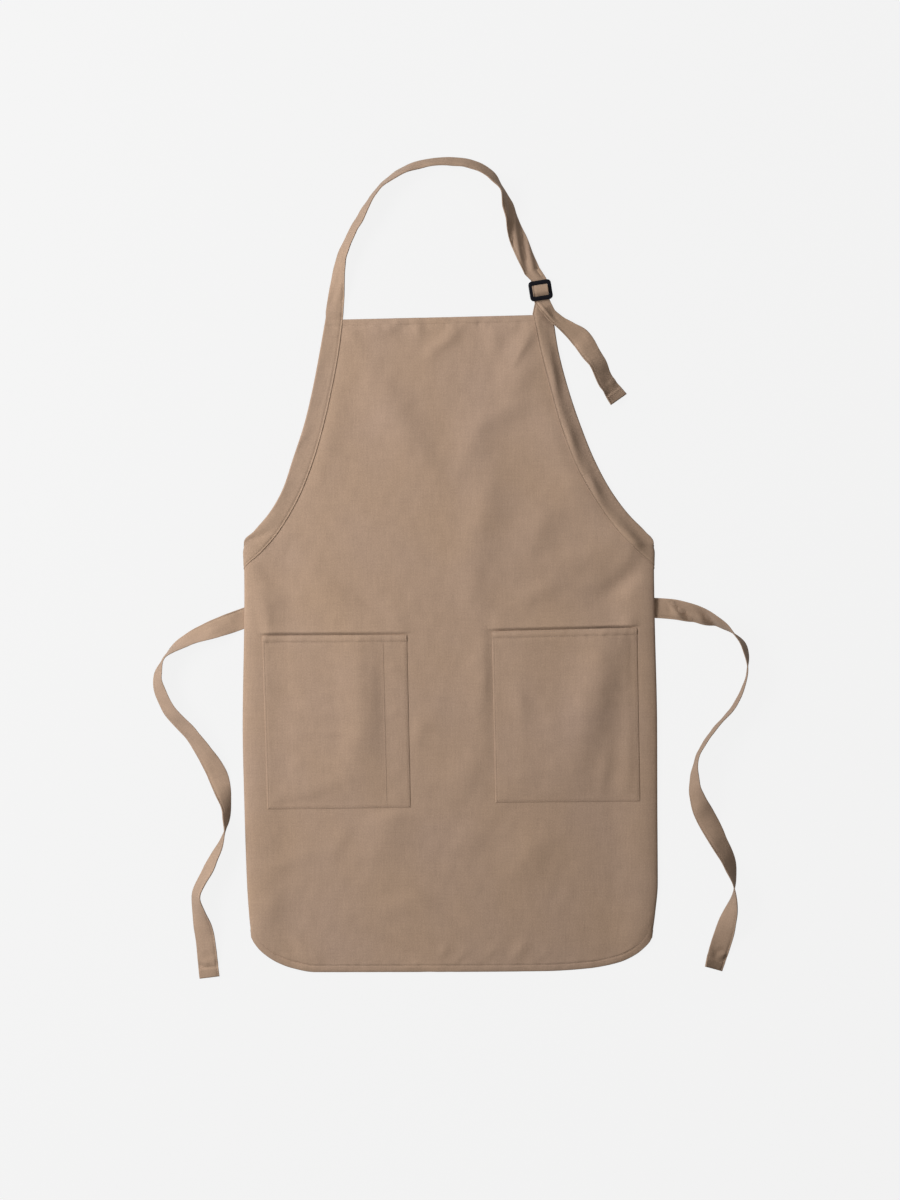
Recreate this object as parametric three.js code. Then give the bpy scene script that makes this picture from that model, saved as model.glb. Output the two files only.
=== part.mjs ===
// A full-length bib apron lying on its back: +Y runs to the neck, +X to the right as seen from above, and
// the surface it lies on is z = 0. Millimetres.
import * as THREE from 'three';

// Cloth, strip and clearance sizes
const CLOTH = 1.0; // wall of one layer of cloth
const STRIP = 1.2; // a folded strip, pressed flat
const STRIP_WIDTH = 25.4; // straps, ties and armhole bindings
const GAP = 0.35; // clearance between pieces that meet
const HEM_EXTRA = 0.8; // extra thickness of a turned hem
const HEM_WIDTH = 8.3;

// How the panel lies: heights of the middle of its cloth
const LIE_HEIGHT = 1.0; // over the bare surface
// Added along the side edges: over a binding's back, over the side turned under, and at the round corner
const EDGE_RISE = [
  { y: 318, rise: 1.2 },
  { y: 61, rise: 1.2 },
  { y: 0, rise: 3.5 },
  { y: -438, rise: 3.5 },
  { y: -468, rise: 1.5 },
];
const TIE_LIFT = 1.7; // added where a tie passes under the turned side
const TURNED_HEIGHT = CLOTH / 2; // middle of the turned part, which lies on the surface
const FLAT_MARGIN = 30; // the edge strip of the panel that stays level
const RAMP_END = 75; // distance from the edge where the panel is down again

// Outline of the panel: its edges at a height y, and how much cloth turns under there. curl 0 is a flat edge.
const PANEL_EDGES = [
  { y: 318, left: -152.5, right: 123.5, turned: 3, curl: 0 },
  { y: 273, left: -160.5, right: 131, turned: 3, curl: 0 },
  { y: 230, left: -168.5, right: 142, turned: 3, curl: 0 },
  { y: 180, left: -180.5, right: 159, turned: 3, curl: 0 },
  { y: 140, left: -194, right: 175.5, turned: 3, curl: 0 },
  { y: 100, left: -208, right: 195, turned: 3, curl: 0 },
  { y: 61, left: -231, right: 226, turned: 3, curl: 0 },
  { y: 46, left: -244, right: 239.5, turned: 3, curl: 0 },
  { y: 36, left: -254, right: 249.5, turned: 3, curl: 0 },
  { y: 31, left: -259.5, right: 255, turned: 3, curl: 0 },
  { y: 27, left: -262.8, right: 258.2, turned: 4, curl: 0.6 },
  { y: 20, left: -262.8, right: 258.2, turned: 9, curl: 1 },
  { y: 6, left: -262.3, right: 258, turned: 20, curl: 1 },
  { y: -40, left: -261.8, right: 258.4, turned: 20, curl: 1 },
  { y: -200, left: -264, right: 262, turned: 20, curl: 1 },
  { y: -306, left: -261.7, right: 262.3, turned: 20, curl: 1 },
  { y: -400, left: -258.5, right: 262.8, turned: 20, curl: 1 },
  { y: -438, left: -256, right: 259.5, turned: 11, curl: 1 },
  { y: -468, left: -253, right: 255.5, turned: 3, curl: 1 },
];

// Bottom edge with its two round corners
const BOTTOM_EDGE = [
  { x: -253, y: -468 },
  { x: -239, y: -488 },
  { x: -219, y: -501 },
  { x: -200, y: -508 },
  { x: -172, y: -512.8 },
  { x: 0, y: -512.5 },
  { x: 120, y: -511.5 },
  { x: 177, y: -507.8 },
  { x: 213, y: -500.5 },
  { x: 234, y: -491 },
  { x: 255.5, y: -468 },
];
const CORNER_Y = -468; // the corners start here
const CORNER_REACH = 150; // rows this far above the corners still follow the bottom edge
const BIB_TOP_TILT = 0.0227; // the bib's top edge rises to the right
const BIB_TOP_CENTRE = -16;
const BIB_TILT_FROM = 150; // rows below this height are level

// Rows of the panel's mesh, from the bib's top down to the corners
const PANEL_ROWS = [
  318, 309, 285, 255, 225, 195, 165, 140, 118, 98, 78, 61, 46, 36, 31, 27, 20, 10, 0, -14, -30, -46, -62, -80,
  -105, -140, -175, -210, -245, -280, -315, -350, -380, -405, -425, -442, -454, -461, CORNER_Y,
];
const INNER_COLUMNS = 14; // between the two level margins
const EDGE_COLUMN = 9; // one more column this far inside the edge, for the round corners
const TURN_STEPS = 4; // facets round the half turn of a side
const TURN_LEVEL = 4; // past the half turn, the turned part lies level on the surface from here to its edge

// Broad folds: a soft ridge at x, y that runs along heading (degrees from +X)
const FOLDS = [
  { x: -85, y: 215, heading: 75, length: 90, width: 26, height: 2.6 },
  { x: 25, y: 215, heading: 100, length: 80, width: 24, height: 2.4 },
  { x: -20, y: 60, heading: 85, length: 110, width: 30, height: 2.2 },
  { x: 115, y: 70, heading: 60, length: 80, width: 30, height: 2.6 },
  { x: -150, y: 60, heading: 125, length: 70, width: 28, height: 2 },
  { x: 5, y: -180, heading: 90, length: 110, width: 28, height: 2.4 },
  { x: -60, y: -410, heading: 145, length: 80, width: 24, height: 2.4 },
  { x: 130, y: -400, heading: 35, length: 80, width: 28, height: 2.2 },
  { x: -190, y: -420, heading: 60, length: 60, width: 24, height: 2 },
];

// Pockets: the four corners of each, and how far the cloth stands off the panel
const POCKETS = {
  pocket_left: [[-239, -86], [-56, -85], [-51, -304], [-232.5, -306]],
  pocket_right: [[52.5, -80.5], [236, -76], [240, -296], [57, -297.5]],
};
const POCKET_CLEARANCE = 0.8; // along the sewn edges
const POCKET_SWELL = 1.6; // added in the middle, most at the mouth
const POCKET_COLUMNS = 8;
const POCKET_ROWS = 8;

// Armhole bindings: the outer edge and the sewn inner edge, from the side fold up to the bib's corner
const LEFT_BINDING = [
  { outX: -261.6, outY: 34, inX: -261.2, inY: 0.5 },
  { outX: -250, outY: 46.7, inX: -240, inY: 21 },
  { outX: -237.5, outY: 61, inX: -218.5, inY: 46.5 },
  { outX: -216.8, outY: 92.7, inX: -196, inY: 84 },
  { outX: -200, outY: 140, inX: -176.5, inY: 131 },
  { outX: -186, outY: 183, inX: -162.5, inY: 178 },
  { outX: -175, outY: 229.5, inX: -151.5, inY: 226 },
  { outX: -166.5, outY: 274, inX: -143, inY: 271.5 },
  { outX: -158.8, outY: 318, inX: -137, inY: 317 },
];
const RIGHT_BINDING = [
  { outX: 257, outY: 34, inX: 256.8, inY: 2 },
  { outX: 247.5, outY: 46, inX: 237, inY: 21 },
  { outX: 232.7, outY: 61, inX: 212, inY: 46 },
  { outX: 206.5, outY: 94, inX: 184.5, inY: 84 },
  { outX: 182, outY: 139, inX: 158.5, inY: 130 },
  { outX: 166.6, outY: 177, inX: 142, inY: 172 },
  { outX: 147.3, outY: 235, inX: 124.6, inY: 233 },
  { outX: 137.5, outY: 273, inX: 114.6, inY: 271 },
  { outX: 129.4, outY: 324, inX: 104, inY: 322.5 },
];
const BINDING_STEPS = 14;

// Slide buckle
const BUCKLE_X = 114;
const BUCKLE_Y = 352.4;
const BUCKLE_HEADING = 101; // degrees from +X to the strap's way through it
const BUCKLE_WIDTH = 29;
const BUCKLE_LENGTH = 25.4;
const BUCKLE_UNDERSIDE = 4.7;
const BAR_THICK = 2.0;
const BAR_BEVEL = 0.6;
const END_BAR = 4.5;
const MIDDLE_BAR = 4.0;
const SIDE_BAR = 3.25;
const BUCKLE_CORNER = 5;
const SLOT_CORNER = 1.5;
const CORNER_STEPS = 4; // facets round each corner

// The strap after the bib's left corner. roll (degrees) raises the edge that faces the neck, and lift is the
// height that the strip's low edge stands at. A row with no width has the full width, and one with no lift
// lies on the surface.
const NECK_RUN = [
  { x: -147.6, y: 324, roll: 6, width: 22.5, lift: 1.2 },
  { x: -145.6, y: 343, roll: 30, width: 24.5, lift: 0.4 },
  { x: -143.4, y: 364.5, roll: 45 },
  { x: -139.3, y: 395, roll: 65 },
  { x: -129, y: 418, roll: 72 },
  { x: -112.3, y: 448.3, roll: 77 },
  { x: -97.4, y: 474, roll: 85 },
  { x: -66.5, y: 501, roll: 73 },
  { x: -29.2, y: 514.2, roll: 73 },
  { x: 1.7, y: 516, roll: 66 },
  { x: 26, y: 512.6, roll: 70 },
  { x: 49.5, y: 500.5, roll: 82 },
  { x: 64, y: 482, roll: 80 },
  { x: 73.3, y: 458.5, roll: 66 },
  { x: 81, y: 430.5, roll: 52 },
  { x: 92.3, y: 402.2, roll: 42, width: 22, lift: 0.3 },
  { x: 104.5, y: 377, roll: 14, width: 18.5, lift: 2 },
];
// Through the buckle: along is measured from the middle bar towards the neck
const WEAVE_WIDTH = 18;
const STRAP_WEAVE = [
  { along: 14, z: 3.8 },
  { along: 8.5, z: 3.9 },
  { along: 7, z: 5.2 },
  { along: 5.2, z: 7.2 },
  { along: 3, z: 8.8 },
  { along: 0, z: 9.2 },
  { along: -3, z: 8.8 },
  { along: -5.2, z: 7.2 },
  { along: -7, z: 5.2 },
  { along: -8.5, z: 3.9 },
  { along: -14, z: 3.8 },
];
const FREE_END = [
  { x: 121.2, y: 330.5, roll: 10, width: 20, lift: 3.6 },
  { x: 127.5, y: 321.8, roll: 34, width: 23, lift: 4.6 },
  { x: 136.5, y: 314, roll: 48, lift: 4.2 },
  { x: 150, y: 304, roll: 28, lift: 2 },
  { x: 165.4, y: 291.5, roll: 10, lift: 0.3 },
  { x: 185.8, y: 261.6, roll: 18 },
  { x: 196.5, y: 238.3, roll: 26 },
  { x: 213.6, y: 213.9, roll: 2 },
];
// The loop round the middle bar: up from the bib, over the bar and back underneath
const LOOP_WIDTH = 20;
const BUCKLE_LOOP = [
  { along: -15, z: 2.3 },
  { along: -8.5, z: 2.35 },
  { along: -6, z: 3.6 },
  { along: -4, z: 5.9 },
  { along: -2.2, z: 7.3 },
  { along: 0, z: 7.65 },
  { along: 1.9, z: 7.3 },
  { along: 3, z: 6.4 },
  { along: 3, z: 5 },
  { along: 1.9, z: 4 },
  { along: 0, z: 3.7 },
  { along: -2, z: 3.3 },
  { along: -4.5, z: 2.2 },
  { along: -7, z: 1.1 },
  { along: -11, z: 0.8 },
  { along: -24, z: 0.8 },
];

// Waist ties, from the end under the turned side to the free end
const LEFT_TIE = [
  { x: -243, y: -56.8, roll: 0 },
  { x: -270, y: -66.6, roll: 0 },
  { x: -297.4, y: -76.6, roll: 22 },
  { x: -333.9, y: -91.4, roll: 53 },
  { x: -363, y: -113.8, roll: 86 },
  { x: -371, y: -136, roll: 115 },
  { x: -359, y: -176.5, roll: 130 },
  { x: -330.2, y: -209.6, roll: 134 },
  { x: -296.2, y: -262, roll: 154 },
  { x: -284.5, y: -305.7, roll: 107 },
  { x: -286.9, y: -334.9, roll: 87 },
  { x: -307.7, y: -382.5, roll: 60 },
  { x: -323.1, y: -417.7, roll: 62 },
  { x: -314.2, y: -457.8, roll: 13 },
  { x: -306.4, y: -520, roll: 0 },
];
const RIGHT_TIE = [
  { x: 240, y: -50.2, roll: 0 },
  { x: 268, y: -51, roll: 0 },
  { x: 288, y: -53.1, roll: 18 },
  { x: 318.1, y: -61.1, roll: 37 },
  { x: 347, y: -73.9, roll: 74 },
  { x: 372.4, y: -100.3, roll: 75 },
  { x: 376.2, y: -127.9, roll: 86 },
  { x: 360, y: -174, roll: 101 },
  { x: 333.1, y: -205.7, roll: 101 },
  { x: 312, y: -242, roll: 98 },
  { x: 309.4, y: -273.6, roll: 118 },
  { x: 337.9, y: -342.8, roll: 178 },
  { x: 352.8, y: -372.1, roll: 221 },
  { x: 359.8, y: -409.6, roll: 270 },
  { x: 350.9, y: -449.6, roll: 328 },
  { x: 333.1, y: -508.5, roll: 360 },
];
const TIE_BUMP = { level: 21, fade: 30 }; // how far either side of a tie the turned side stays lifted
const RUN_STEP = 14; // spacing of a run's sections along its length
const GROOVE = 0.8; // depth of the open fold along a strip's inner edge
const GROOVE_HEIGHT = 0.3;

const LINEN_TAN = 0xa89078;
const BUCKLE_BLACK = 0x16171c;
const CLOTH_ROUGHNESS = 0.9;
const BUCKLE_ROUGHNESS = 0.35;
const RIGHT_ANGLE = 90;

const clamp = (value, low, high) => Math.min(high, Math.max(low, value));
const ramp = (from, to, value) => clamp((value - from) / (to - from), 0, 1);
const smooth = (from, to, value) => THREE.MathUtils.smoothstep(value, from, to);
const toRadians = THREE.MathUtils.degToRad;

// One column of a table as a smooth function of another, with no overshoot between rows
function column(rows, key, name) {
  const sorted = [...rows].sort((a, b) => a[key] - b[key]);
  const secant = (i) => (sorted[i + 1][name] - sorted[i][name]) / (sorted[i + 1][key] - sorted[i][key]);
  const slope = (i) => {
    if (i === 0 || i === sorted.length - 1) return secant(i === 0 ? 0 : i - 1);
    const [before, after] = [secant(i - 1), secant(i)];
    return before * after > 0 ? (2 * before * after) / (before + after) : 0;
  };
  return (value) => {
    const at = clamp(value, sorted[0][key], sorted[sorted.length - 1][key]);
    const next = sorted.findIndex((row, i) => i > 0 && at <= row[key]);
    const [low, high] = [sorted[next - 1], sorted[next]];
    const span = high[key] - low[key];
    const t = (at - low[key]) / span;
    const rise = high[name] - low[name];
    const start = slope(next - 1) * span - rise;
    const end = rise - slope(next) * span;
    return low[name] + t * rise + t * (1 - t) * (start * (1 - t) + end * t);
  };
}

// The same, straight between rows
function straightColumn(rows, key, name) {
  const sorted = [...rows].sort((a, b) => a[key] - b[key]);
  return (value) => {
    const at = clamp(value, sorted[0][key], sorted[sorted.length - 1][key]);
    const next = sorted.findIndex((row, i) => i > 0 && at <= row[key]);
    const [low, high] = [sorted[next - 1], sorted[next]];
    return THREE.MathUtils.mapLinear(at, low[key], high[key], low[name], high[name]);
  };
}

const leftEdge = column(PANEL_EDGES, 'y', 'left');
const rightEdge = column(PANEL_EDGES, 'y', 'right');
const turnedWidth = straightColumn(PANEL_EDGES, 'y', 'turned');
const curlAt = straightColumn(PANEL_EDGES, 'y', 'curl');
const edgeRise = straightColumn(EDGE_RISE, 'y', 'rise');
const bottomEdge = column(BOTTOM_EDGE, 'x', 'y');

// How far a tie lifts the turned side at the height y
function tieLift(tie, y) {
  const distance = Math.abs(y - (tie[0].y + tie[1].y) / 2);
  return TIE_LIFT * (1 - ramp(TIE_BUMP.level, TIE_BUMP.level + TIE_BUMP.fade, distance));
}

// The soft ridges at a point
function foldHeight(x, y) {
  let total = 0;
  for (const fold of FOLDS) {
    const angle = toRadians(fold.heading);
    const along = (x - fold.x) * Math.cos(angle) + (y - fold.y) * Math.sin(angle);
    const across = (y - fold.y) * Math.cos(angle) - (x - fold.x) * Math.sin(angle);
    total += fold.height * Math.exp(-((along / fold.length) ** 2) - (across / fold.width) ** 2);
  }
  return total;
}

// Height of the middle of the panel's cloth. row is the mesh row's own height, which names the edges.
function panelHeight(x, y, row = y) {
  const fromLeft = x - leftEdge(row);
  const fromRight = rightEdge(row) - x;
  const tie = fromLeft < fromRight ? LEFT_TIE : RIGHT_TIE;
  const inside = ramp(FLAT_MARGIN, RAMP_END, Math.min(fromLeft, fromRight));
  const side = (edgeRise(row) + tieLift(tie, row)) * (1 - inside);
  const ends = smooth(CORNER_Y - FLAT_MARGIN, CORNER_Y + FLAT_MARGIN, y);
  return LIE_HEIGHT + side + foldHeight(x, y) * inside * ends;
}

// The true height y of a mesh row at x: the lowest rows follow the bottom edge, the highest the bib's top
function rowY(row, x) {
  const low = 1 - smooth(CORNER_Y, CORNER_Y + CORNER_REACH, row);
  const high = smooth(BIB_TILT_FROM, PANEL_ROWS[0], row);
  return row + low * (bottomEdge(x) - CORNER_Y) + high * BIB_TOP_TILT * (x - BIB_TOP_CENTRE);
}

// A closed solid from a strip's rings, with both ends capped. Every face is split along the same diagonal,
// from the outer edge of one ring to the inner edge of the next, so that the faces stay apart where the
// strip twists.
function loft(rings) {
  const count = rings[0].length;
  const positions = rings.flat().flatMap((point) => point.toArray());
  const triangles = [];
  for (let i = 0; i + 1 < rings.length; i += 1) {
    for (let k = 0; k < count; k += 1) {
      const a = i * count + k;
      const b = i * count + ((k + 1) % count);
      if (OUTWARD_SIDES.includes(k)) triangles.push(a, b, a + count, b, b + count, a + count);
      else triangles.push(a, b, b + count, a, b + count, a + count);
    }
  }
  const last = (rings.length - 1) * count;
  for (const [a, b, c] of STRIP_CAP) {
    triangles.push(c, b, a, last + a, last + b, last + c);
  }
  return solid(positions, triangles);
}

// A closed solid with its faces turned outwards
function solid(positions, triangles) {
  const geometry = new THREE.BufferGeometry();
  geometry.setAttribute('position', new THREE.Float32BufferAttribute(positions, 3));
  const corner = (i) => new THREE.Vector3().fromArray(positions, 3 * triangles[i]);
  let volume = 0;
  for (let i = 0; i < triangles.length; i += 3) {
    volume += corner(i).dot(corner(i + 1).cross(corner(i + 2)));
  }
  const outward = [];
  for (let i = 0; i < triangles.length; i += 3) {
    const [a, b, c] = triangles.slice(i, i + 3);
    outward.push(...(volume > 0 ? [a, b, c] : [a, c, b]));
  }
  geometry.setIndex(outward);
  geometry.computeVertexNormals();
  return geometry;
}

// A sheet of cloth from a grid of middle points, half(i, j) thick to either side
function sheet(grid, half) {
  const [rows, columns] = [grid.length, grid[0].length];
  const point = (i, j) => grid[clamp(i, 0, rows - 1)][clamp(j, 0, columns - 1)];
  const faces = [[], []];
  for (let i = 0; i < rows; i += 1) {
    for (let j = 0; j < columns; j += 1) {
      const down = point(i + 1, j).clone().sub(point(i - 1, j));
      const across = point(i, j + 1).clone().sub(point(i, j - 1));
      const normal = down.cross(across).normalize();
      faces[0].push(point(i, j).clone().addScaledVector(normal, half(i, j)));
      faces[1].push(point(i, j).clone().addScaledVector(normal, -half(i, j)));
    }
  }
  const under = rows * columns;
  const at = (i, j) => i * columns + j;
  const triangles = [];
  for (let i = 0; i + 1 < rows; i += 1) {
    for (let j = 0; j + 1 < columns; j += 1) {
      const [a, b, c, d] = [at(i, j), at(i + 1, j), at(i + 1, j + 1), at(i, j + 1)];
      triangles.push(a, b, c, a, c, d, under + a, under + c, under + b, under + a, under + d, under + c);
    }
  }
  const rim = [];
  for (let j = 0; j + 1 < columns; j += 1) rim.push(at(0, j));
  for (let i = 0; i + 1 < rows; i += 1) rim.push(at(i, columns - 1));
  for (let j = columns - 1; j > 0; j -= 1) rim.push(at(rows - 1, j));
  for (let i = rows - 1; i > 0; i -= 1) rim.push(at(i, 0));
  rim.forEach((a, k) => {
    const b = rim[(k + 1) % rim.length];
    triangles.push(a, b, under + b, a, under + b, under + a);
  });
  return solid(faces.flat().flatMap((p) => p.toArray()), triangles);
}

// A point of the cloth turned under at one side, reach along the cloth from the fold
function turnedPoint(row, side, reach) {
  const edge = side < 0 ? leftEdge(row) : rightEdge(row);
  const y = rowY(row, edge);
  const top = panelHeight(edge, y, row);
  const curl = curlAt(row);
  if (curl === 0) return new THREE.Vector3(edge + side * reach, y, top);
  const tie = side < 0 ? LEFT_TIE : RIGHT_TIE;
  const radius = (top - TURNED_HEIGHT - tieLift(tie, row)) / 2 / curl;
  const angle = reach / radius;
  if (angle <= Math.PI) {
    return new THREE.Vector3(edge + side * radius * Math.sin(angle), y, top - radius * (1 - Math.cos(angle)));
  }
  return new THREE.Vector3(edge - side * (reach - Math.PI * radius), y, top - 2 * radius);
}

// The one-piece front, row by row from its left turned edge to its right one
function bodyPanel() {
  const turnHeight = LIE_HEIGHT + edgeRise(0) - TURNED_HEIGHT;
  const halfTurn = (Math.PI * turnHeight) / 2;
  const wanted = Array.from({ length: TURN_STEPS }, (_, k) => (halfTurn * (k + 1)) / TURN_STEPS);
  wanted.push(halfTurn + TURN_LEVEL);
  const reaches = (row) => {
    const width = turnedWidth(row);
    const share = width / (wanted.length + 1);
    return [...wanted.map((reach, k) => Math.min(reach, share * (k + 1))), width];
  };
  const grid = PANEL_ROWS.map((row) => {
    const left = leftEdge(row);
    const right = rightEdge(row);
    const inner = (i) => THREE.MathUtils.lerp(left + FLAT_MARGIN, right - FLAT_MARGIN, i / INNER_COLUMNS);
    const middle = Array.from({ length: INNER_COLUMNS + 1 }, (_, i) => inner(i));
    const level = [left, left + EDGE_COLUMN, ...middle, right - EDGE_COLUMN, right];
    return [
      ...reaches(row).reverse().map((reach) => turnedPoint(row, -1, reach)),
      ...level.map((x) => new THREE.Vector3(x, rowY(row, x), panelHeight(x, rowY(row, x), row))),
      ...reaches(row).map((reach) => turnedPoint(row, 1, reach)),
    ];
  });
  const hemmed = (i) => PANEL_ROWS[0] - PANEL_ROWS[i] < HEM_WIDTH || PANEL_ROWS[i] - CORNER_Y < HEM_WIDTH;
  const turnColumns = wanted.length + 1;
  const inside = (j) => Math.min(j, grid[0].length - 1 - j) > turnColumns + 2;
  return sheet(grid, (i, j) => (CLOTH + (hemmed(i) && inside(j) ? HEM_EXTRA : 0)) / 2);
}

// A patch pocket between its four corners, standing a little off the panel
function pocket([topLeft, topRight, bottomRight, bottomLeft]) {
  const mix = THREE.MathUtils.lerp;
  const stand = CLOTH + POCKET_CLEARANCE;
  const grid = Array.from({ length: POCKET_ROWS + 1 }, (_, i) => {
    const down = i / POCKET_ROWS;
    return Array.from({ length: POCKET_COLUMNS + 1 }, (_, j) => {
      const across = j / POCKET_COLUMNS;
      const x = mix(mix(topLeft[0], topRight[0], across), mix(bottomLeft[0], bottomRight[0], across), down);
      const y = mix(mix(topLeft[1], topRight[1], across), mix(bottomLeft[1], bottomRight[1], across), down);
      const swell = POCKET_SWELL * Math.sin(Math.PI * across) * (1 - down ** 2);
      return new THREE.Vector3(x, y, panelHeight(x, y) + stand + swell);
    });
  });
  return sheet(grid, () => CLOTH / 2);
}

// A strip's section: an outer edge, an inner edge, its half thickness, and a slot of that half height and
// depth that opens along the inner edge. Its corners run round from the outer edge's lower one.
function stripRing({ outer, inner, forward, half, slot, depth }) {
  const across = inner.clone().sub(outer);
  const width = across.length();
  const up = across.clone().cross(forward).normalize();
  const floor = (width - depth) / width;
  const below = [[0, -half], [1, -half], [1, -slot], [floor, -slot]];
  const above = below.map(([share, rise]) => [share, -rise]).reverse();
  const corners = [...below, ...above];
  const place = ([share, rise]) => outer.clone().addScaledVector(across, share).addScaledVector(up, rise);
  return corners.map(place);
}
const STRIP_CAP = [[0, 1, 2], [0, 2, 3], [0, 3, 4], [0, 4, 7], [7, 4, 5], [7, 5, 6]]; // triangles of its end
const OUTWARD_SIDES = [2, 6]; // sides of the section that run from its inner edge to its outer one

// Sections of an armhole binding, which holds the panel's edge in its slot
function bindingSections(rows) {
  const numbered = rows.map((row, i) => ({ ...row, i }));
  const [outX, outY, inX, inY] = ['outX', 'outY', 'inX', 'inY'].map((name) => column(numbered, 'i', name));
  const slot = CLOTH / 2 + GAP;
  const sections = [];
  for (let k = 0; k <= BINDING_STEPS; k += 1) {
    const at = (k / BINDING_STEPS) * (rows.length - 1);
    const outer = new THREE.Vector3(outX(at), outY(at), 0);
    const inner = new THREE.Vector3(inX(at), inY(at), 0);
    outer.z = LIE_HEIGHT + edgeRise(outer.y);
    inner.z = LIE_HEIGHT + edgeRise(inner.y);
    const width = outer.distanceTo(inner);
    sections.push({ outer, inner, half: slot + CLOTH, slot, depth: width - CLOTH });
  }
  return sections;
}

// Sections of a flat run laid along a table of places, with its low edge on what it lies on
function runSections(rows) {
  const route = new THREE.CatmullRomCurve3(rows.map((row) => new THREE.Vector3(row.x, row.y, 0)));
  const numbered = rows.map((row, i) => ({ width: STRIP_WIDTH, lift: 0, ...row, i }));
  const [roll, width, lift] = ['roll', 'width', 'lift'].map((name) => column(numbered, 'i', name));
  const steps = Math.round(route.getLength() / RUN_STEP);
  const sections = [];
  for (let k = 0; k <= steps; k += 1) {
    const t = route.getUtoTmapping(k / steps);
    const at = t * (rows.length - 1);
    const angle = toRadians(roll(at));
    const forward = route.getTangent(t).normalize();
    const right = new THREE.Vector3(forward.y, -forward.x, 0);
    const across = right.multiplyScalar(Math.cos(angle)).setZ(Math.sin(angle));
    const middle = route.getPoint(t);
    const low = (width(at) * Math.abs(across.z) + STRIP * Math.abs(Math.cos(angle))) / 2;
    middle.z = lift(at) + low;
    sections.push({ middle, across, width: width(at) });
  }
  return sections.map(flatSection);
}

// Sections of a run that goes up and down through the buckle
function weaveSections(rows, width) {
  const angle = toRadians(BUCKLE_HEADING);
  const along = new THREE.Vector3(Math.cos(angle), Math.sin(angle), 0);
  const across = new THREE.Vector3(-Math.sin(angle), Math.cos(angle), 0);
  return rows.map((row) => {
    const middle = new THREE.Vector3(BUCKLE_X, BUCKLE_Y, row.z).addScaledVector(along, row.along);
    return flatSection({ middle, across, width });
  });
}

function flatSection({ middle, across, width }) {
  return {
    outer: middle.clone().addScaledVector(across, -width / 2),
    inner: middle.clone().addScaledVector(across, width / 2),
    half: STRIP / 2,
    slot: GROOVE_HEIGHT / 2,
    depth: GROOVE,
  };
}

// A whole strip from its sections in order
function strip(sections) {
  const middle = sections.map(({ outer, inner }) => outer.clone().add(inner).multiplyScalar(0.5));
  const rings = sections.map((section, i) => {
    const before = middle[Math.max(i - 1, 0)];
    const after = middle[Math.min(i + 1, middle.length - 1)];
    return stripRing({ ...section, forward: after.clone().sub(before) });
  });
  return loft(rings);
}

// The three-bar slide, its bars square to its own length
function slideBuckle() {
  const roundRectangle = (path, across, along, y, corner) => {
    const [w, h, r] = [across / 2, along / 2, corner];
    path.moveTo(-w + r, y - h);
    path.lineTo(w - r, y - h);
    path.absarc(w - r, y - h + r, r, -Math.PI / 2, 0);
    path.lineTo(w, y + h - r);
    path.absarc(w - r, y + h - r, r, 0, Math.PI / 2);
    path.lineTo(-w + r, y + h);
    path.absarc(-w + r, y + h - r, r, Math.PI / 2, Math.PI);
    path.lineTo(-w, y - h + r);
    path.absarc(-w + r, y - h + r, r, Math.PI, Math.PI * 1.5);
    return path;
  };
  const inset = 2 * BAR_BEVEL;
  const [width, length] = [BUCKLE_WIDTH - inset, BUCKLE_LENGTH - inset];
  const frame = roundRectangle(new THREE.Shape(), width, length, 0, BUCKLE_CORNER);
  const slotLength = (BUCKLE_LENGTH - 2 * END_BAR - MIDDLE_BAR) / 2;
  const slotWidth = BUCKLE_WIDTH - 2 * SIDE_BAR;
  for (const side of [-1, 1]) {
    const y = (side * (MIDDLE_BAR + slotLength)) / 2;
    frame.holes.push(roundRectangle(new THREE.Path(), slotWidth + inset, slotLength + inset, y, SLOT_CORNER));
  }
  const geometry = new THREE.ExtrudeGeometry(frame, {
    depth: BAR_THICK - inset,
    bevelThickness: BAR_BEVEL,
    bevelSize: BAR_BEVEL,
    bevelSegments: 1,
    curveSegments: CORNER_STEPS,
  });
  geometry.translate(0, 0, BAR_BEVEL);
  return geometry;
}

function piece(name, geometry, colour, roughness) {
  const material = new THREE.MeshStandardMaterial({ color: colour, roughness, metalness: 0 });
  const mesh = new THREE.Mesh(geometry, material);
  mesh.name = name;
  return mesh;
}

const apron = new THREE.Group();
const cloth = (name, geometry) => apron.add(piece(name, geometry, LINEN_TAN, CLOTH_ROUGHNESS));

cloth('body_panel', bodyPanel());
for (const [name, corners] of Object.entries(POCKETS)) cloth(name, pocket(corners));
cloth('neck_strap', strip([
  ...bindingSections(LEFT_BINDING),
  ...runSections(NECK_RUN),
  ...weaveSections(STRAP_WEAVE, WEAVE_WIDTH),
  ...runSections(FREE_END),
]));
cloth('buckle_strap', strip([
  ...bindingSections(RIGHT_BINDING),
  ...weaveSections(BUCKLE_LOOP, LOOP_WIDTH),
]));
cloth('tie_left', strip(runSections(LEFT_TIE)));
cloth('tie_right', strip(runSections(RIGHT_TIE)));

const buckle = piece('slide_buckle', slideBuckle(), BUCKLE_BLACK, BUCKLE_ROUGHNESS);
buckle.position.set(BUCKLE_X, BUCKLE_Y, BUCKLE_UNDERSIDE);
buckle.rotation.z = toRadians(BUCKLE_HEADING - RIGHT_ANGLE);
apron.add(buckle);

export default apron;
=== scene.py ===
# Bib apron of tan twill, lying on its back on a pale floor and seen from straight above.
import math
from collections import namedtuple

import bmesh
import bpy
import numpy as np
from bpy.props import FloatProperty, FloatVectorProperty, PointerProperty
from mathutils import Matrix, Vector


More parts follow.
